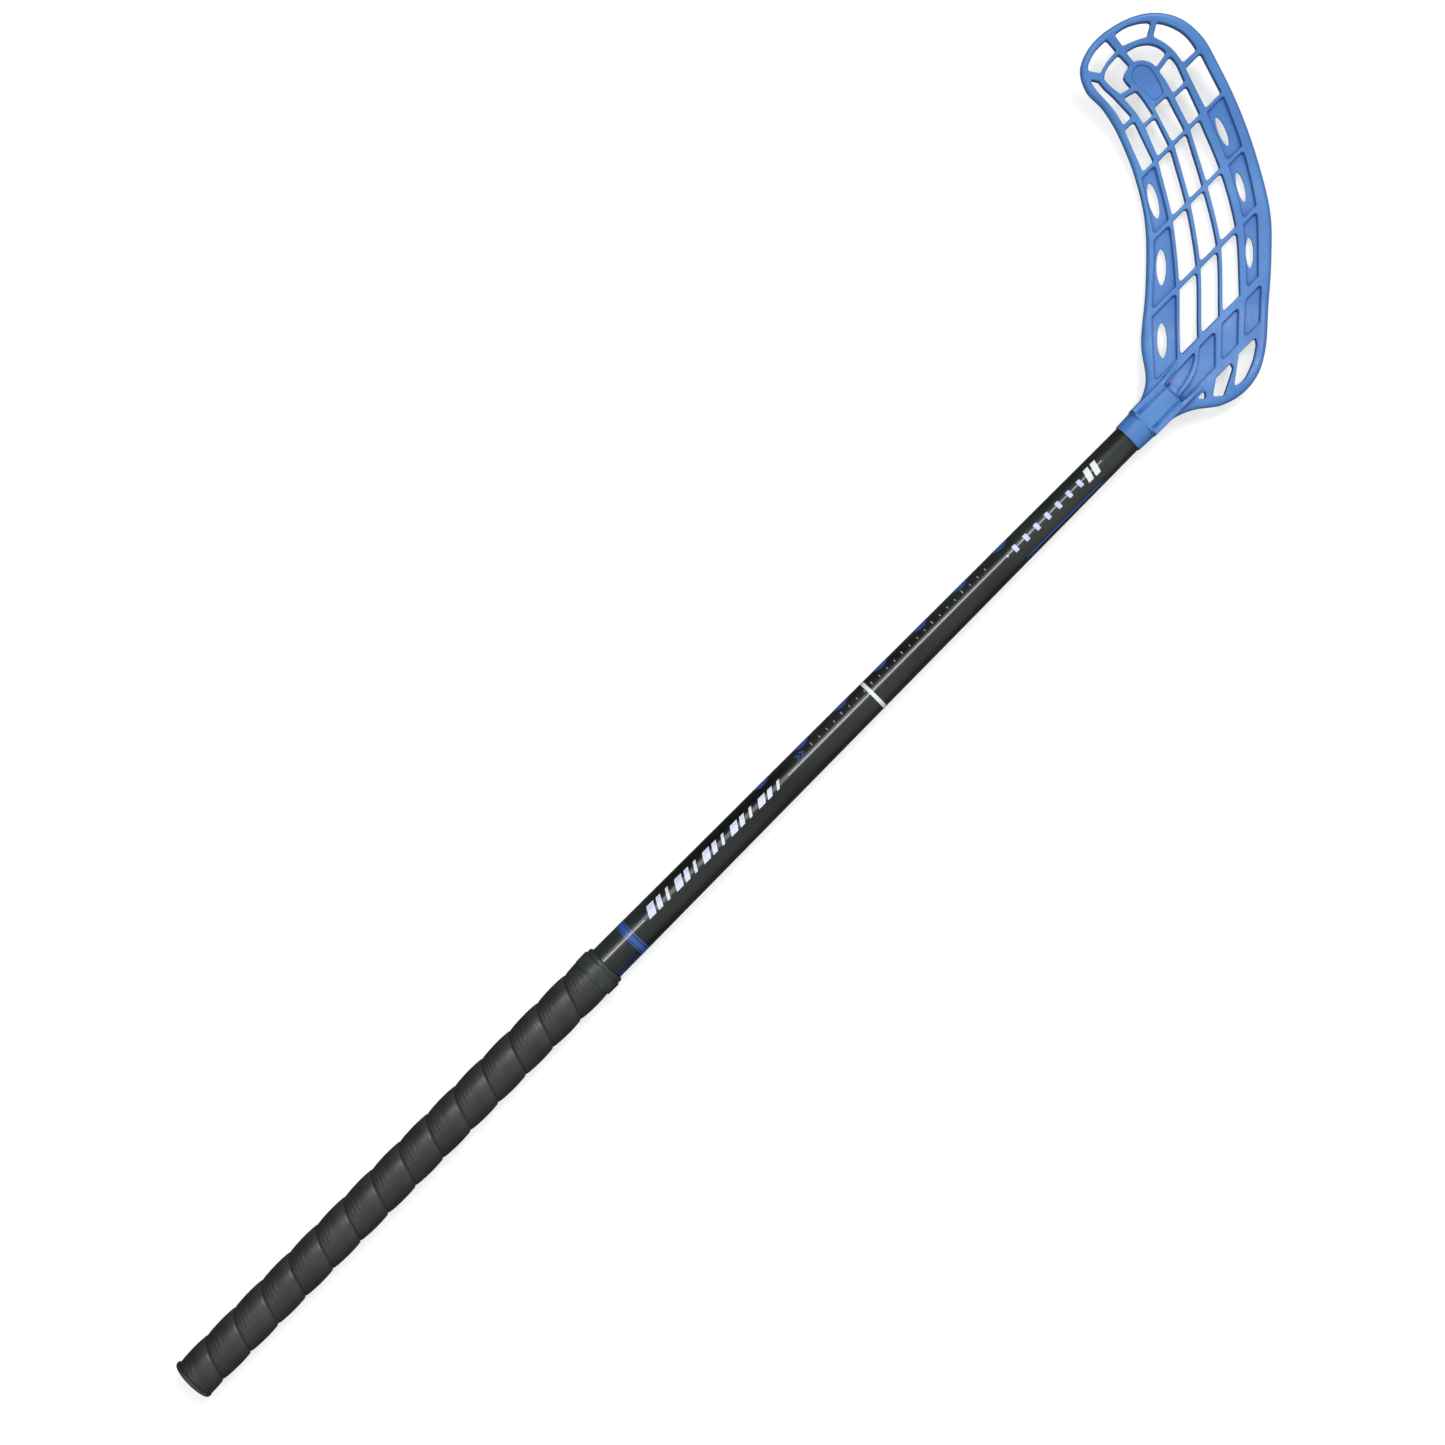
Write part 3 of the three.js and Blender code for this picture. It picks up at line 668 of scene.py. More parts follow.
def shaft_lacquer():
    """Near-black gloss lacquer over carbon: patches of fine weave, and a slow, paler helical band of painted
    sheen.
    """
    finish = Finish("gloss_lacquer", Coat_Weight=0.3, Coat_Roughness=0.06, Specular_IOR_Level=0.3)
    along, across, up = finish.from_axis()
    angle = finish.math("ARCTAN2", across, up)
    cells_along = finish.math("MULTIPLY", along, math.tau / 0.0028)
    cells_round = finish.math("MULTIPLY", angle, 28)
    diagonal = finish.math("ADD", cells_along, cells_round)
    counter = finish.math("SUBTRACT", cells_along, cells_round)
    weave = finish.math("MULTIPLY", finish.math("SINE", diagonal), finish.math("SINE", counter))
    patches = finish.remap(finish.noise(9, detail=2, place=finish.stretched(1.0, 2.5, 2.5)), 0.46, 0.6, 0, 1)
    weave = finish.math("MULTIPLY", finish.remap(weave, 0.1, 0.6, 0, 1), patches)
    # Painted sheen: a slow helical band of paler colour stands in for soft reflections on the lacquer.
    sheen_wave = finish.math("SINE", finish.math("ADD", finish.math("MULTIPLY", along, 17), angle))
    base = finish.mix(finish.remap(sheen_wave, 0.1, 0.95, 0, 1), colour(10, 11, 11), colour(25, 28, 28))
    base = finish.mix(finish.math("MULTIPLY", weave, 0.8), base, colour(62, 68, 67))
    roughness = finish.remap(finish.noise(60, detail=5), 0.35, 0.7, 0.2, 0.3)
    hairline = finish.noise(500, detail=4, place=finish.stretched(0.04, 1, 1))
    normal = finish.bump(hairline, 0.06, 0.0001)
    return finish.use(base, roughness, normal)


def wrap_cushion():
    """Soft polyurethane grip tape: fine pores, faint creases and a dry sheen, with a painted highlight just
    before each seam and painted shade along the seam.
    """
    finish = Finish("grip_polyurethane", Specular_IOR_Level=0.45)
    along, across, up = finish.from_axis()
    angle = finish.math("ARCTAN2", up, across)
    turn = finish.math("MULTIPLY", finish.math("SUBTRACT", math.pi, angle), 1 / math.tau)
    share = finish.math("SUBTRACT", finish.math("MULTIPLY", along, 1 / (WRAP_PITCH * MM)), turn)
    share = finish.math("FRACT", finish.math("ADD", share, WRAP_LEAD))
    cloud = finish.noise(40, detail=5)
    base = finish.mix(finish.remap(cloud, 0.3, 0.7, 0, 1), colour(30, 31, 32), colour(38, 39, 40))
    # Painted highlight: each turn grows paler towards the seam that ends it.
    base = finish.mix(finish.remap(share, 0.55, 0.97, 0, 0.4), base, colour(60, 61, 62))
    # Painted shade: a near-black strip along the step of each seam.
    base = finish.mix(finish.remap(share, 0.0, 0.06, 0.4, 0), base, colour(14, 14, 15))
    pores = finish.add("ShaderNodeTexVoronoi", {"Vector": finish.place, "Scale": 1500}).outputs["Distance"]
    ripples = {0: finish.math("MULTIPLY", share, 12)}
    ripples[1] = finish.math("MULTIPLY", across, 1.6 / (WRAP_RADIUS * MM))
    ripples[2] = finish.math("MULTIPLY", up, 1.6 / (WRAP_RADIUS * MM))
    creases = finish.noise(1, detail=3, place=finish.add("ShaderNodeCombineXYZ", ripples).outputs[0])
    creases = finish.math("MULTIPLY", creases, finish.remap(share, 0.1, 0.7, 1, 0.2))
    roughness = finish.remap(share, 0.3, 0.95, 0.5, 0.36)
    patchy = finish.remap(finish.noise(150, detail=4), 0.3, 0.7, -0.04, 0.04)
    roughness = finish.math("ADD", roughness, patchy)
    normal = finish.bump(pores, 0.15, 0.0002)
    normal = finish.bump(creases, 0.6, 0.0018, onto=normal)
    return finish.use(base, roughness, normal)


def black_rubber():
    """Moulded black rubber with a fine matt grain and dusty scuffs."""
    finish = Finish("moulded_rubber", Specular_IOR_Level=0.4)
    dust = finish.remap(finish.noise(130, detail=6, roughness=0.65), 0.55, 0.75, 0, 1)
    base = finish.mix(dust, colour(44, 48, 48), colour(60, 64, 64))
    roughness = finish.remap(dust, 0, 1, 0.34, 0.55)
    normal = finish.bump(finish.noise(1800, detail=2), 0.2, 0.0002)
    return finish.use(base, roughness, normal)


def binding_tape():
    """Stretched vinyl tape: long creases round the shaft, with painted shade in their hollows."""
    finish = Finish("vinyl_tape")
    creases = finish.noise(300, detail=3, place=finish.stretched(3, 0.3, 0.3))
    # Painted shade: the colour follows the crease height, darker in the hollows and paler on the crests.
    base = finish.mix(creases, colour(20, 21, 22), colour(38, 39, 41))
    roughness = finish.remap(creases, 0.3, 0.7, 0.3, 0.45)
    return finish.use(base, roughness, finish.bump(creases, 0.4, 0.0003))


def hot_glue():
    """Milky glue with small bubbles."""
    finish = Finish("hot_melt", Subsurface_Weight=0.3, Subsurface_Scale=0.002)
    bubbles = finish.add("ShaderNodeTexVoronoi", {"Vector": finish.place, "Scale": 700}).outputs["Distance"]
    base = finish.mix(bubbles, colour(232, 226, 200), colour(206, 198, 164))
    roughness = finish.remap(finish.noise(200), 0.3, 0.7, 0.25, 0.4)
    return finish.use(base, roughness, finish.bump(bubbles, 0.3, 0.0003))


def screw_steel():
    """Zinc-plated steel with brushed wear."""
    finish = Finish("zinc_steel", Metallic=1.0)
    brush = finish.noise(2500, detail=3, place=finish.stretched(0.15, 1, 1))
    base = finish.mix(brush, colour(150, 153, 158), colour(196, 198, 202))
    roughness = finish.remap(brush, 0.3, 0.7, 0.25, 0.42)
    return finish.use(base, roughness, finish.bump(brush, 0.15, 0.0001))


def print_ink(name, ink, worn):
    """Screen-printed ink under lacquer, slightly uneven and worn in places."""
    finish = Finish(name, Coat_Weight=0.35, Coat_Roughness=0.08, Specular_IOR_Level=0.35)
    uneven = finish.remap(finish.noise(700, detail=4), 0.45, 0.8, 0, 0.5)
    base = finish.mix(uneven, ink, worn)
    roughness = finish.remap(finish.noise(300, detail=3), 0.3, 0.7, 0.26, 0.38)
    normal = finish.bump(finish.noise(2200), 0.05, 0.0001)
    return finish.use(base, roughness, normal)


def floor_paint():
    """Pale matt studio floor, lit from below as well, so that shadows on it stay light."""
    finish = Finish("floor_paint", Emission_Color=(1.0, 1.0, 1.0, 1), Emission_Strength=0.6)
    mottle = finish.noise(3, detail=5)
    base = finish.mix(mottle, (0.4, 0.402, 0.405, 1), (0.42, 0.42, 0.42, 1))
    roughness = finish.remap(mottle, 0.3, 0.7, 0.75, 0.9)
    return finish.use(base, roughness)


def backdrop_paint():
    """Pale wall, evenly lit from behind."""
    finish = Finish("backdrop_paint", Emission_Color=(0.93, 0.94, 0.95, 1), Emission_Strength=0.85)
    mottle = finish.noise(0.6, detail=4)
    base = finish.mix(mottle, (0.3, 0.302, 0.305, 1), (0.34, 0.34, 0.34, 1))
    return finish.use(base, finish.remap(mottle, 0.3, 0.7, 0.8, 0.95))


# ---- Blade ----

def smoothstep(low, high, value):
    share = min(max((value - low) / (high - low), 0), 1)
    return share * share * (3 - 2 * share)


def hook_height(x, y):
    """Height of the blade's middle surface above the shaft axis."""
    along = x * math.cos(BLADE_LIE) + y * math.sin(BLADE_LIE)
    sink = -(AXIS_HEIGHT - FRAME_HALF) * smoothstep(DIP_START, FLAT_START, along)
    rise = max(0, along - FLAT_END) / (TIP_END - FLAT_END)
    return sink + TIP_RISE * rise * rise


def blade_frame():
    """The rim and the ribs: one thick plate with every opening, panel, pocket and the pad cut out."""
    count = RIM_STEPS * len(RIM_OUTLINE)
    outline = [catmull_rom(RIM_OUTLINE, True, k / RIM_STEPS) for k in range(count)]
    holes = []
    for row in range(len(ROW_Y) - 1):
        for line in range(len(LINE_X) - 1):
            holes.append(rounded(cell_corners(line, row)))
    holes.extend(rounded(corners) for corners in TIP_OPENINGS + HEEL_OPENINGS + HEEL_POCKETS + [PAD])
    return plate(outline, holes, FRAME_HALF, RIM_BEVEL, RIB_BEVEL, BLADE_SPACING)


def blade_floors():
    """The thin side panels with their slots, the floors of the heel pockets and the pad."""
    floors = []
    for row in range(len(ROW_Y) - 1):
        for line in (0, len(LINE_X) - 2):
            outline = rounded(cell_corners(line, row, PANEL_OVERLAP))
            slots = [slot_outline(line, row)]
            floors.append(plate(outline, slots, PANEL_HALF, 0, SLOT_BEVEL, BLADE_SPACING, 3))
    for corners, half in [(pocket, PANEL_HALF) for pocket in HEEL_POCKETS] + [(PAD, PAD_HALF)]:
        floors.append(plate(rounded(grown(corners, PANEL_OVERLAP)), [], half, 0, 0, BLADE_SPACING))
    return joined(floors)


def squared_ring(x, y, half_width, half_height, squareness, count):
    """Points round a section between an ellipse (2) and a rectangle with round corners (4)."""
    ring = []
    for k in range(count):
        angle = math.tau * k / count
        cosine, sine = math.cos(angle), math.sin(angle)
        across = abs(cosine / half_width) ** squareness
        up = abs(sine / half_height) ** squareness
        reach = (across + up) ** (-1 / squareness)
        ring.append((x, y + reach * cosine, reach * sine))
    return ring


def neck_body():
    """The sleeve and the boxy part of the neck, with a groove on each side of its raised tongue."""
    places, *sizes = zip(*NECK_STATIONS)
    rings = []
    steps = math.ceil(places[-1] / NECK_STEP)
    stops = sorted(set(places) | {places[-1] * k / steps for k in range(steps + 1)})
    for x in stops:
        width, height, squareness = (np.interp(x, places, size) for size in sizes)
        window = smoothstep(GROOVE_START - 1, GROOVE_START + 1, x)
        ring = []
        for _, y, z in squared_ring(x, 0, width, height, squareness, NECK_POINTS):
            groove = GROOVE_DEPTH * window * math.exp(-(((abs(y) - GROOVE_Y) / GROOVE_WIDTH) ** 2))
            ring.append((x, y, z - math.copysign(min(groove, abs(z) / 2), z)))
        rings.append(ring)
    return loft(rings)


def neck_rail(leaving_y, ending_y):
    """A rail along the side of the neck, falling to the height of the rib that carries it on."""
    rings = []
    for x in np.arange(RAIL_START, RAIL_END + 1, 1.0):
        share = smoothstep(RAIL_FADE, RAIL_END, x)
        y = leaving_y + (ending_y - leaving_y) * share
        height = RAIL_HALF_HEIGHT + (RAIL_END_HALF_HEIGHT - RAIL_HALF_HEIGHT) * share
        rings.append(squared_ring(x, y, RAIL_HALF_WIDTH, height, RAIL_SQUARENESS, RAIL_POINTS))
    return loft(rings)


def socket():
    """The hole for the shaft: a flared mouth, a close-fitting lip and a wider bore for the glue."""
    flare = SOCKET_LIP_RADIUS + 0.3
    return turned_solid([
        (NECK_MOUTH - 1, flare),
        (NECK_MOUTH + 0.1, flare),
        (NECK_MOUTH + 0.5, SOCKET_LIP_RADIUS),
        (NECK_MOUTH + SOCKET_LIP_DEPTH, SOCKET_LIP_RADIUS),
        (NECK_MOUTH + SOCKET_LIP_DEPTH + 0.1, SOCKET_RADIUS),
        (NECK_MOUTH + SOCKET_DEPTH, SOCKET_RADIUS),
    ])


def screw_hole():
    """The hole for the neck screw, from below the neck to inside the shaft."""
    circle_points = disc(NECK_MOUTH + SCREW_X, 0, SCREW_HOLE_RADIUS, SCREW_HOLE_SEGMENTS)
    return loft([[(x, y, z) for x, y in circle_points] for z in (-AXIS_HEIGHT - 1, SCREW_HOLE_TOP)])


def make_blade(material):
    body = mesh_from(blade_frame())
    for addition in (blade_floors(), neck_body(), *(neck_rail(*rail) for rail in RAILS)):
        body = combined(body, mesh_from(addition), "UNION")
    for vertex in body.vertices:
        x, y, z = vertex.co
        vertex.co = (x + NECK_MOUTH, y, z + hook_height(x, y))
    body = combined(body, mesh_from(socket()), "DIFFERENCE")
    body = combined(body, mesh_from(screw_hole()), "DIFFERENCE")
    return add_piece("moulded_blade", body, material, "blade_plastic", ["blade"])


# ---- Shaft, cap, wrap and collar ----

def tube_radius(x):
    share = max(0, x - COLLAR_END) / (NECK_MOUTH - COLLAR_END)
    return TUBE_RADIUS - (TUBE_RADIUS - TUBE_RADIUS_AT_NECK) * share


def make_shaft(material):
    stations = [TUBE_START, COLLAR_END, *np.linspace(COLLAR_END + 30, NECK_MOUTH, 16), TUBE_END]
    outer = [(x, tube_radius(x)) for x in stations]
    inner = [(x, tube_radius(x) - TUBE_WALL) for x in reversed(stations)]
    tube = combined(mesh_from(turned(outer + inner)), mesh_from(screw_hole()), "DIFFERENCE")
    return add_piece("lacquered_shaft", tube, material, "shaft_lacquer", ["shaft_tube"])


def make_cap(material):
    """The butt cap: a round flange with two shallow rings on its face, and a hollow spigot."""
    spigot = TUBE_RADIUS - TUBE_WALL - GAP
    flange = TUBE_START - GAP
    rings = []
    for radius in (5.0, 9.5):
        rings.extend([(0, radius - 0.9), (0.5, radius - 0.4), (0.5, radius + 0.4), (0, radius + 0.9)])
    profile = [
        (0, 0.01), *rings, (0, CAP_RADIUS - 1.6), (0.45, CAP_RADIUS - 0.45), (1.6, CAP_RADIUS),
        (flange, CAP_RADIUS), (flange, spigot), (CAP_END - 1, spigot), (CAP_END, spigot - 0.6),
        (CAP_END, spigot - 1.5), (flange + 1.5, spigot - 1.5), (flange + 1.5, 0.01),
    ]
    cap = mesh_from(turned(filleted(profile, 0.35)))
    return add_piece("butt_end_cap", cap, material, "black_rubber", ["butt_cap"])


def wrap_height(share):
    """How far the wrap stands above its seam, across one turn: 0 at the seam on the butt side."""
    rise = 1 - math.exp(-share / 0.05)
    crown = math.sin(math.pi * share ** 1.25) ** 0.8
    lip = 1 - smoothstep(0.955, 1.0, share)
    return WRAP_SEAM_DEPTH * rise * lip + WRAP_CROWN * (crown - 0.3)


def wrap_surface():
    """The outside of the helical wrap, a little longer than the grip at both ends."""
    turns = math.ceil(WRAP_END / WRAP_PITCH) + 3
    tallest = max(wrap_height(share) for share in WRAP_ACROSS)
    points, faces = [], []
    rows = turns * WRAP_AROUND
    for row in range(rows):
        turn = row / WRAP_AROUND
        angle = math.pi - math.tau * turn
        for share in WRAP_ACROSS:
            radius = WRAP_RADIUS + wrap_height(share) - tallest
            x = WRAP_PITCH * (turn + share - WRAP_LEAD)
            points.append((x, radius * math.cos(angle), radius * math.sin(angle)))
    count = len(WRAP_ACROSS)
    for row in range(rows - WRAP_AROUND - 1):
        for k in range(count):
            a, d = row * count + k, (row + 1) * count + k
            if k + 1 < count:
                b, c = a + 1, d + 1
            else:
                b, c = (row + WRAP_AROUND) * count, (row + 1 + WRAP_AROUND) * count
            faces.append((a, b, c, d))
    return points, faces


def make_wrap(material):
    points, faces = wrap_surface()
    mesh = bpy.data.meshes.new("wrap")
    mesh.from_pydata(points, [], faces)
    work = bmesh.new()
    work.from_mesh(mesh)
    for x, direction in ((WRAP_START, -1), (COLLAR_START - GAP, 1)):
        everything = work.verts[:] + work.edges[:] + work.faces[:]
        bmesh.ops.bisect_plane(
            work, geom=everything, plane_co=(x, 0, 0), plane_no=(direction, 0, 0), clear_outer=True
        )
        rim = [edge for edge in work.edges if edge.is_boundary and abs(edge.verts[0].co.x - x) < 1e-3]
        bmesh.ops.edgeloop_fill(work, edges=rim)
    bmesh.ops.recalc_face_normals(work, faces=work.faces)
    work.to_mesh(mesh)
    work.free()
    tail = turned_solid([(COLLAR_START - 8, WRAP_UNDER_COLLAR), (WRAP_END, WRAP_UNDER_COLLAR)])
    bore = turned_solid([(WRAP_START - 2, WRAP_INNER), (WRAP_END + 2, WRAP_INNER)])
    body = combined(mesh, mesh_from(tail), "UNION")
    body = combined(body, mesh_from(bore), "DIFFERENCE")
    return add_piece("helical_wrap", body, material, "wrap_cushion", ["grip_wrap"], sharp_angle=50)


def make_collar(material):
    """The rubber collar: rolled edge, wide band with faint ridges, and a narrower lip."""
    bore = WRAP_INNER
    seat = WRAP_RADIUS + 0.05
    rolled_edge = [(0, 0.15), (0.5, 0), (0.95, 0.05), (1.15, 0.3), (1.6, 0.3), (1.8, 0.08)]
    band_end = [(9.3, 0.02), (9.9, 0.25), (10, 1.15), (10.5, 1.15), (10.9, 0.9)]
    outside = [(COLLAR_START + x, COLLAR_RADIUS - drop) for x, drop in rolled_edge + band_end]
    lip_radius = COLLAR_RADIUS - 0.9
    lip = [(COLLAR_END - 0.9, lip_radius), (COLLAR_END, lip_radius - 0.9)]
    groove = [(11.3, bore), (11.3, bore + 0.7), (6.5, bore + 0.7), (5.5, seat - 0.6)]
    inside_points = [(COLLAR_START + x, radius) for x, radius in groove]
    profile = [(COLLAR_START, seat - 0.35), *outside, *lip, (COLLAR_END, bore), *inside_points]
    collar = mesh_from(turned(filleted(profile, 0.25)))
    return add_piece("rubber_collar", collar, material, "black_rubber", ["grip_collar"])


# ---- Printed graphics and a painted reflection line: thin layers that stand just proud of the lacquer ----

INK_DEPTH = 0.05
INK_SPACING = 1.4
BLUE_BANDS = [(21.9, 22.7), (23.3, 27.0), (27.7, 28.9)]      # start and end, from the collar
WHITE_BAND = (257.6, 260.4)
# The long line is a painted reflection: a thin pale grey strip along the shaft where a strip of light would
# shine, placed by where it is seen from above.
REFLECTION_LINES = [(COLLAR_END + 0.3, 443), (582, NECK_MOUTH - 24)]
REFLECTION_LINE_PLACE = 0.19             # share of the radius at which the long line is seen
DISC_START, DISC_PITCH, DISC_COUNT, DISC_RADIUS = 565, 38.3, 7, 7.2
DISC_PLACE = 1.53                  # arc from the top of the shaft, in radii
CHEVRONS = [593, 597]
BAR_START, BAR_PITCH, BAR_COUNT = 446, 8.8, 15
BAR_FILL_START = 446.65
BAR_WIDTHS = (6.4, 4.2, 2.4)
TICK_START, TICK_PITCH, TICK_COUNT = 608, 7.3, 24
BLOCK_START, BLOCK_PITCH, BLOCK_COUNT = 799.5, 10.4, 7
SLASH_START, SLASH_PITCH, SLASH_COUNT = 868.2, 6.6, 2
HALFTONE_PITCH = 2.3
HALFTONE_ROWS = 7


def wrapped(parts, lift):
    """Flat plates, x along the shaft and y round it from the top, bent on to the shaft."""
    points, faces = joined(parts)
    bent = []
    for x, arc, z in points:
        radius = tube_radius(x)
        angle = arc / radius
        reach = radius + z + lift
        bent.append((x, reach * math.sin(angle), reach * math.cos(angle)))
    return mesh_from((bent, faces))


def ink(outline):
    """A flat layer of ink."""
    return plate(outline, [], INK_DEPTH, 0, 0, INK_SPACING)


def leaning_bar(x, arc, width, height, lean):
    """A parallelogram with its lower left corner at x, arc."""
    return [(x, arc), (x + width, arc), (x + width + lean, arc + height), (x + lean, arc + height)]


def arc_at(x, share):
    """Arc length from the top of the shaft to where it is seen at that share of its radius."""
    return tube_radius(x) * math.asin(share)


def printed_band(start, end, lift):
    """A ring of ink round the shaft."""
    outer = [(start, tube_radius(start) + lift), (end, tube_radius(end) + lift)]
    inner = [(end, tube_radius(end) - INK_DEPTH), (start, tube_radius(start) - INK_DEPTH)]
    return turned(outer + inner)


def printed(name, parts, lift, finish):
    """Flat ink wrapped on to the shaft as one piece; the finish is a material and its slot."""
    add_piece(name, wrapped(parts, lift), *finish)


def make_graphics(blue, pale, white, grey):
    ring = joined([printed_band(COLLAR_END + start, COLLAR_END + end, 0.05) for start, end in BLUE_BANDS])
    add_piece("print_blue_ring", mesh_from(ring), *blue)

    start, end = WHITE_BAND
    flex_ring = printed_band(COLLAR_END + start, COLLAR_END + end, 0.06)
    add_piece("print_white_ring", mesh_from(flex_ring), *white)

    # Painted reflection: thin pale grey stretches along the top of the lacquer, standing in for a strip of
    # light shining on it.
    stretches = []
    for start, end in REFLECTION_LINES:
        low_start, low_end = arc_at(start, REFLECTION_LINE_PLACE), arc_at(end, REFLECTION_LINE_PLACE)
        corners = [(start, low_start), (end, low_end), (end, low_end + 0.75), (start, low_start + 0.85)]
        stretches.append(ink(corners))
    printed("painted_reflection_line", stretches, 0.01, grey)

    places = [DISC_START + DISC_PITCH * k for k in range(DISC_COUNT)]
    discs = [ink(disc(x, DISC_PLACE * tube_radius(x), DISC_RADIUS)) for x in places]
    printed("print_edge_discs", discs, 0, blue)

    low_arc = -arc_at(840, 0.77)
    low_line = [(802, low_arc - 0.8), (876, low_arc - 0.8), (873, low_arc + 0.8), (805, low_arc + 0.8)]
    printed("print_low_line", [ink(low_line)], 0, blue)

    chevrons = []
    for x in CHEVRONS:
        chevrons.append(ink([
            (x, 5.2), (x + 1.8, 5.2), (x + 4.4, 7.4), (x + 1.8, 9.6), (x, 9.6), (x + 2.6, 7.4),
        ]))
    printed("print_chevrons", chevrons, 0.02, blue)

    bars, bar_fills = [], []
    for k in range(BAR_COUNT):
        width = BAR_WIDTHS[k % len(BAR_WIDTHS)]
        height = 8.4 - 0.22 * k
        bars.append(ink(leaning_bar(BAR_START + BAR_PITCH * k, 0.6, width, height, 4.2)))
        fill_x = BAR_FILL_START + BAR_PITCH * k
        bar_fills.append(ink(leaning_bar(fill_x, 1.1, width - 0.95, height - 1.0, 3.7)))
    printed("print_bar_outlines", bars, 0, white)
    printed("print_bar_fills", bar_fills, 0.03, pale)

    ticks = []
    for k in range(TICK_COUNT):
        height = 2.8 if k % 4 == 0 else 1.7
        x = TICK_START + TICK_PITCH * k
        ticks.append(ink(leaning_bar(x, 6.0, 0.7, height, 0)))
    printed("print_tick_scale", ticks, 0.02, grey)

    places = [BLOCK_START + BLOCK_PITCH * k for k in range(BLOCK_COUNT)]
    blocks = [ink(leaning_bar(x, -0.6, 3.2, 5.2, 0)) for x in places]
    blocks.append(ink(disc(793.5, 2.1, 0.9, 12)))
    printed("print_blocks", blocks, 0.03, pale)

    places = [SLASH_START + SLASH_PITCH * k for k in range(SLASH_COUNT)]
    slashes = [ink(leaning_bar(x, -2.4, 4.6, 9.2, 2.6)) for x in places]
    printed("print_slashes", slashes, 0.03, white)

    dots = []
    last_row = HALFTONE_ROWS - 1
    for row in range(HALFTONE_ROWS):
        reach = 20 + 34 * (row / last_row) ** 1.4
        for column in range(int(reach / HALFTONE_PITCH)):
            x = COLLAR_END + 1.4 + HALFTONE_PITCH * column + HALFTONE_PITCH / 2 * (row % 2)
            fade = 1 - column * HALFTONE_PITCH / reach
            size = 0.3 + 0.65 * fade * (0.35 + 0.65 * row / last_row)
            dots.append(ink(disc(x, -(9.2 + 1.9 * row), size, 8)))
    printed("print_halftone", dots, 0, blue)


# ---- The stick ----

def dress_cad_node(node, material, bevel):
    """A CAD node that keeps its shape: its material, and edges broken by a small bevel."""
    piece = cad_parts[node]
    piece.data.materials.clear()
    piece.data.materials.append(material)
    rounding = piece.modifiers.new("broken_edges", "BEVEL")
    rounding.width = bevel * MM
    rounding.segments = 2
    rounding.limit_method = "ANGLE"
    rounding.angle_limit = math.radians(30)
    rounding.harden_normals = True


rubber = black_rubber()
make_shaft(shaft_lacquer())
make_cap(rubber)
wrap = make_wrap(wrap_cushion())
make_collar(rubber)
make_blade(blade_plastic())
make_graphics(
    (print_ink("blue_ink", colour(38, 76, 146), colour(32, 64, 126)), "print_blue"),
    (print_ink("pale_ink", colour(188, 192, 226), colour(150, 154, 190)), "print_pale"),
    (print_ink("white_ink", colour(212, 217, 215), colour(176, 182, 180)), "print_white"),
    # The grey ink also makes the painted reflection line.
    (print_ink("grey_ink_and_reflection", colour(150, 152, 150), colour(112, 114, 112)), "print_white"),
)
dress_cad_node("finishing_tape", binding_tape(), 0.05)
dress_cad_node("neck_glue", hot_glue(), 0.1)
dress_cad_node("neck_screw", screw_steel(), 0.12)


# ---- Floor, light and camera ----

STUDIO_HALF = 15.0
WALL_HEIGHT = 9.0
HORIZON_LIGHT = 0.1
OVERHEAD_LIGHT = 0.8
BRIGHTEST_SIDE = (0.0, -0.3, 0.95)


def stage_surface(name, points, faces, material):
    """Part of the studio. It takes shadows, but casts none and throws no light back at the stick."""
    mesh = bpy.data.meshes.new(name)
    mesh.from_pydata(points, [], faces)
    mesh.materials.append(material)
    surface = new_object(name, mesh)
    surface.visible_glossy = False
    surface.visible_diffuse = False
    surface.visible_shadow = False


def make_studio():
    """A square floor, and a pale wall round it."""
    half = STUDIO_HALF
    corners = [(-half, -half), (half, -half), (half, half), (-half, half)]
    stage_surface("floor", [(x, y, 0) for x, y in corners], [(0, 1, 2, 3)], floor_paint())
    points = [(x, y, z) for z in (0, WALL_HEIGHT) for x, y in corners]
    walls = [(k, (k + 1) % 4, 4 + (k + 1) % 4, 4 + k) for k in range(4)]
    stage_surface("backdrop", points, walls, backdrop_paint())


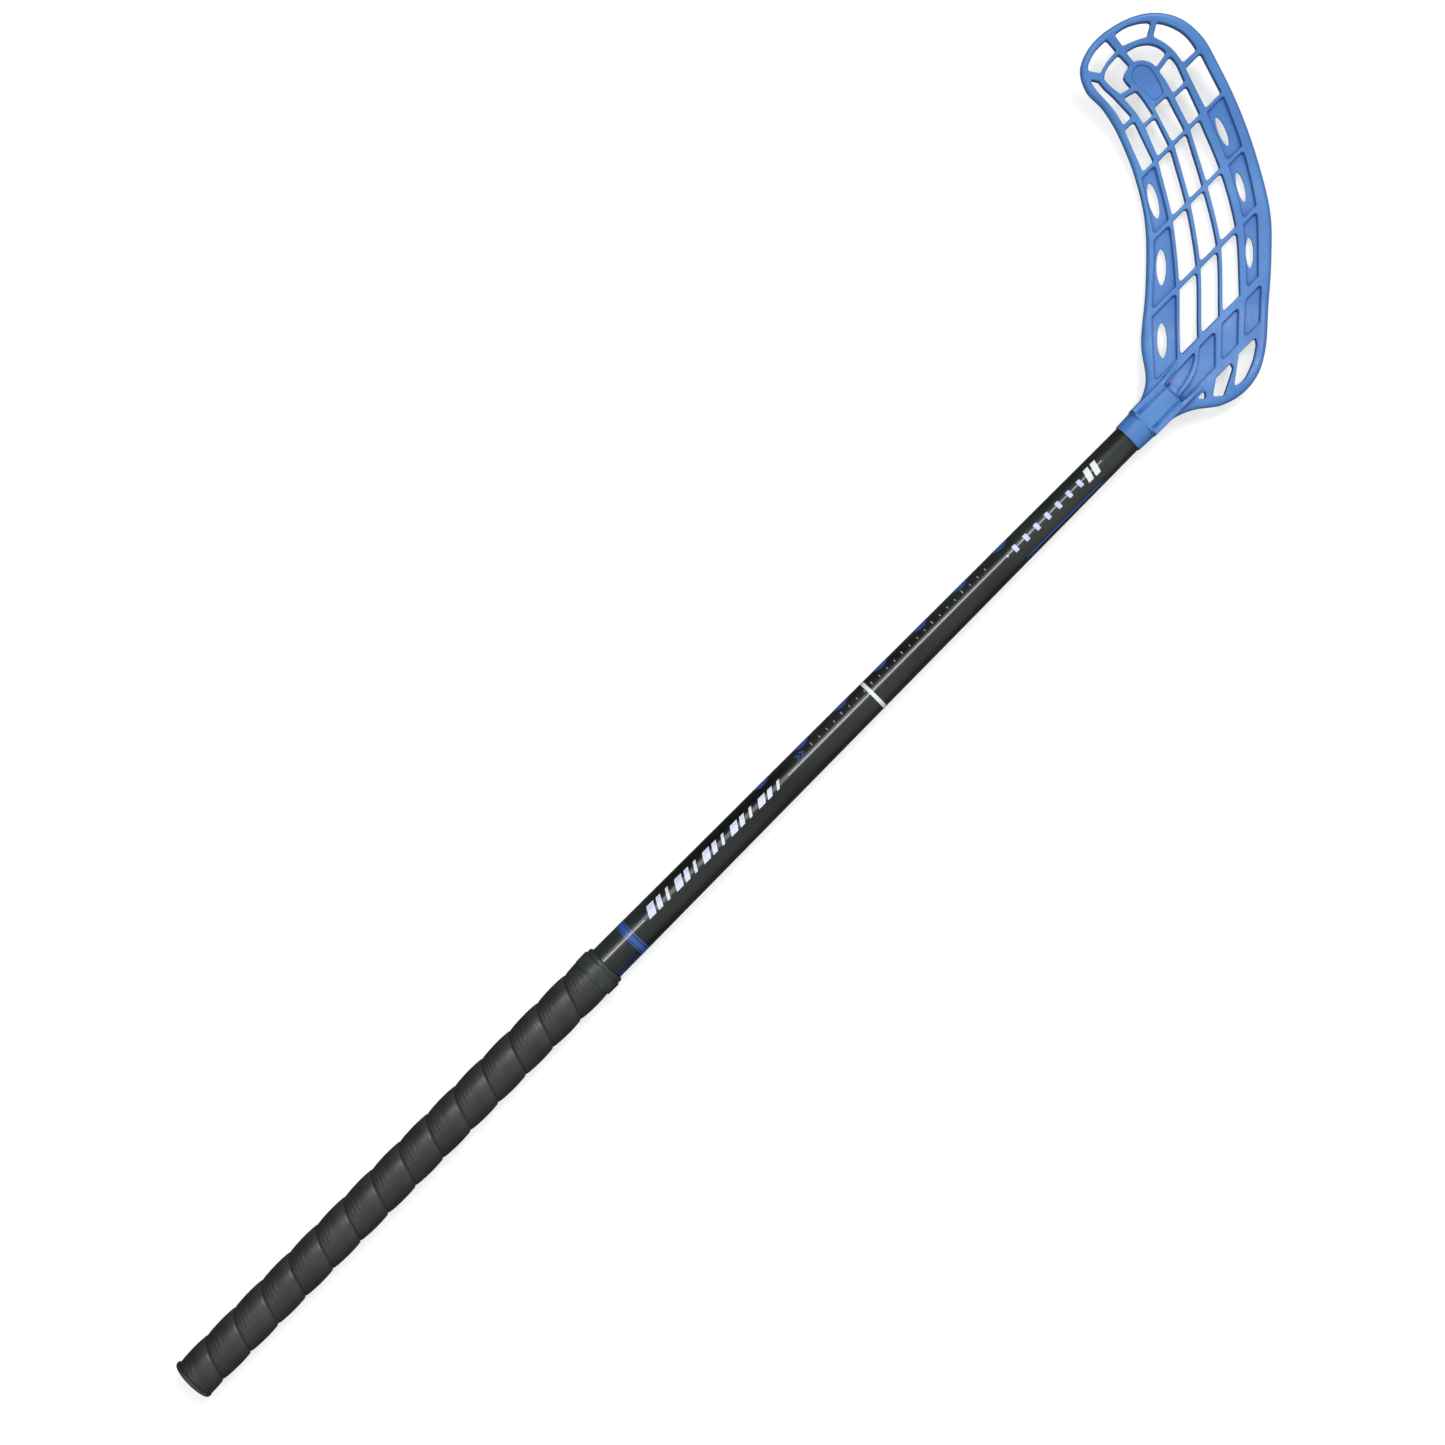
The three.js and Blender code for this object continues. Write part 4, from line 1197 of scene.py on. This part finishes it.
def make_world():
    """A room lit from overhead and a little from the near side, dark at the horizon and below it."""
    world = bpy.data.worlds.new("studio")
    bpy.context.scene.world = world
    world.use_nodes = True
    tree = world.node_tree
    direction = tree.nodes.new("ShaderNodeTexCoord")
    height = tree.nodes.new("ShaderNodeVectorMath")
    height.operation = "DOT_PRODUCT"
    height.inputs[1].default_value = BRIGHTEST_SIDE
    ramp = tree.nodes.new("ShaderNodeMapRange")
    ramp.interpolation_type = "SMOOTHSTEP"
    for index, value in enumerate((-0.05, 0.95, HORIZON_LIGHT, OVERHEAD_LIGHT), start=1):
        ramp.inputs[index].default_value = value
    tree.links.new(direction.outputs["Generated"], height.inputs[0])
    tree.links.new(height.outputs["Value"], ramp.inputs[0])
    tree.links.new(ramp.outputs[0], tree.nodes["Background"].inputs["Strength"])
    tree.nodes["Background"].inputs["Color"].default_value = (0.97, 0.985, 1.0, 1)


def lamp(name, kind, power, direction, place=(0, 0, 0)):
    """A lamp that shines from that direction."""
    light = bpy.data.lights.new(name, kind)
    light.energy = power
    thing = new_object(name, light)
    thing.location = place
    thing.rotation_euler = Vector(direction).to_track_quat("Z", "Y").to_euler()
    return light


def sun(name, direction, strength, spread):
    """A broad, distant lamp."""
    lamp(name, "SUN", strength, direction).angle = math.radians(spread)


def softbox(name, place, size, power):
    """A square lamp aimed at the middle of the stick."""
    lamp(name, "AREA", power, place, place).size = size


def make_camera():
    """Straight above the stick, turned so that the shaft runs up to the right."""
    lens = 85.0
    height = 2.337
    shaft_on_screen = math.radians(45.2)
    camera_data = bpy.data.cameras.new("camera")
    camera_data.lens = lens
    camera_data.sensor_width = 36.0
    camera = new_object("camera", camera_data)
    camera.location = AXIS + Vector((576 * MM, 60 * MM, height))
    camera.rotation_euler = (0, 0, -shaft_on_screen)
    bpy.context.scene.camera = camera


make_studio()
make_world()
sun("key", (0.55, 0.15, 0.85), 1.7, 22)
sun("fill", (-0.5, -0.1, 0.86), 0.3, 22)
softbox("sheen", (0.0, 1.1, 2.2), 1.1, 18)
make_camera()
bpy.context.scene.view_settings.view_transform = "Standard"
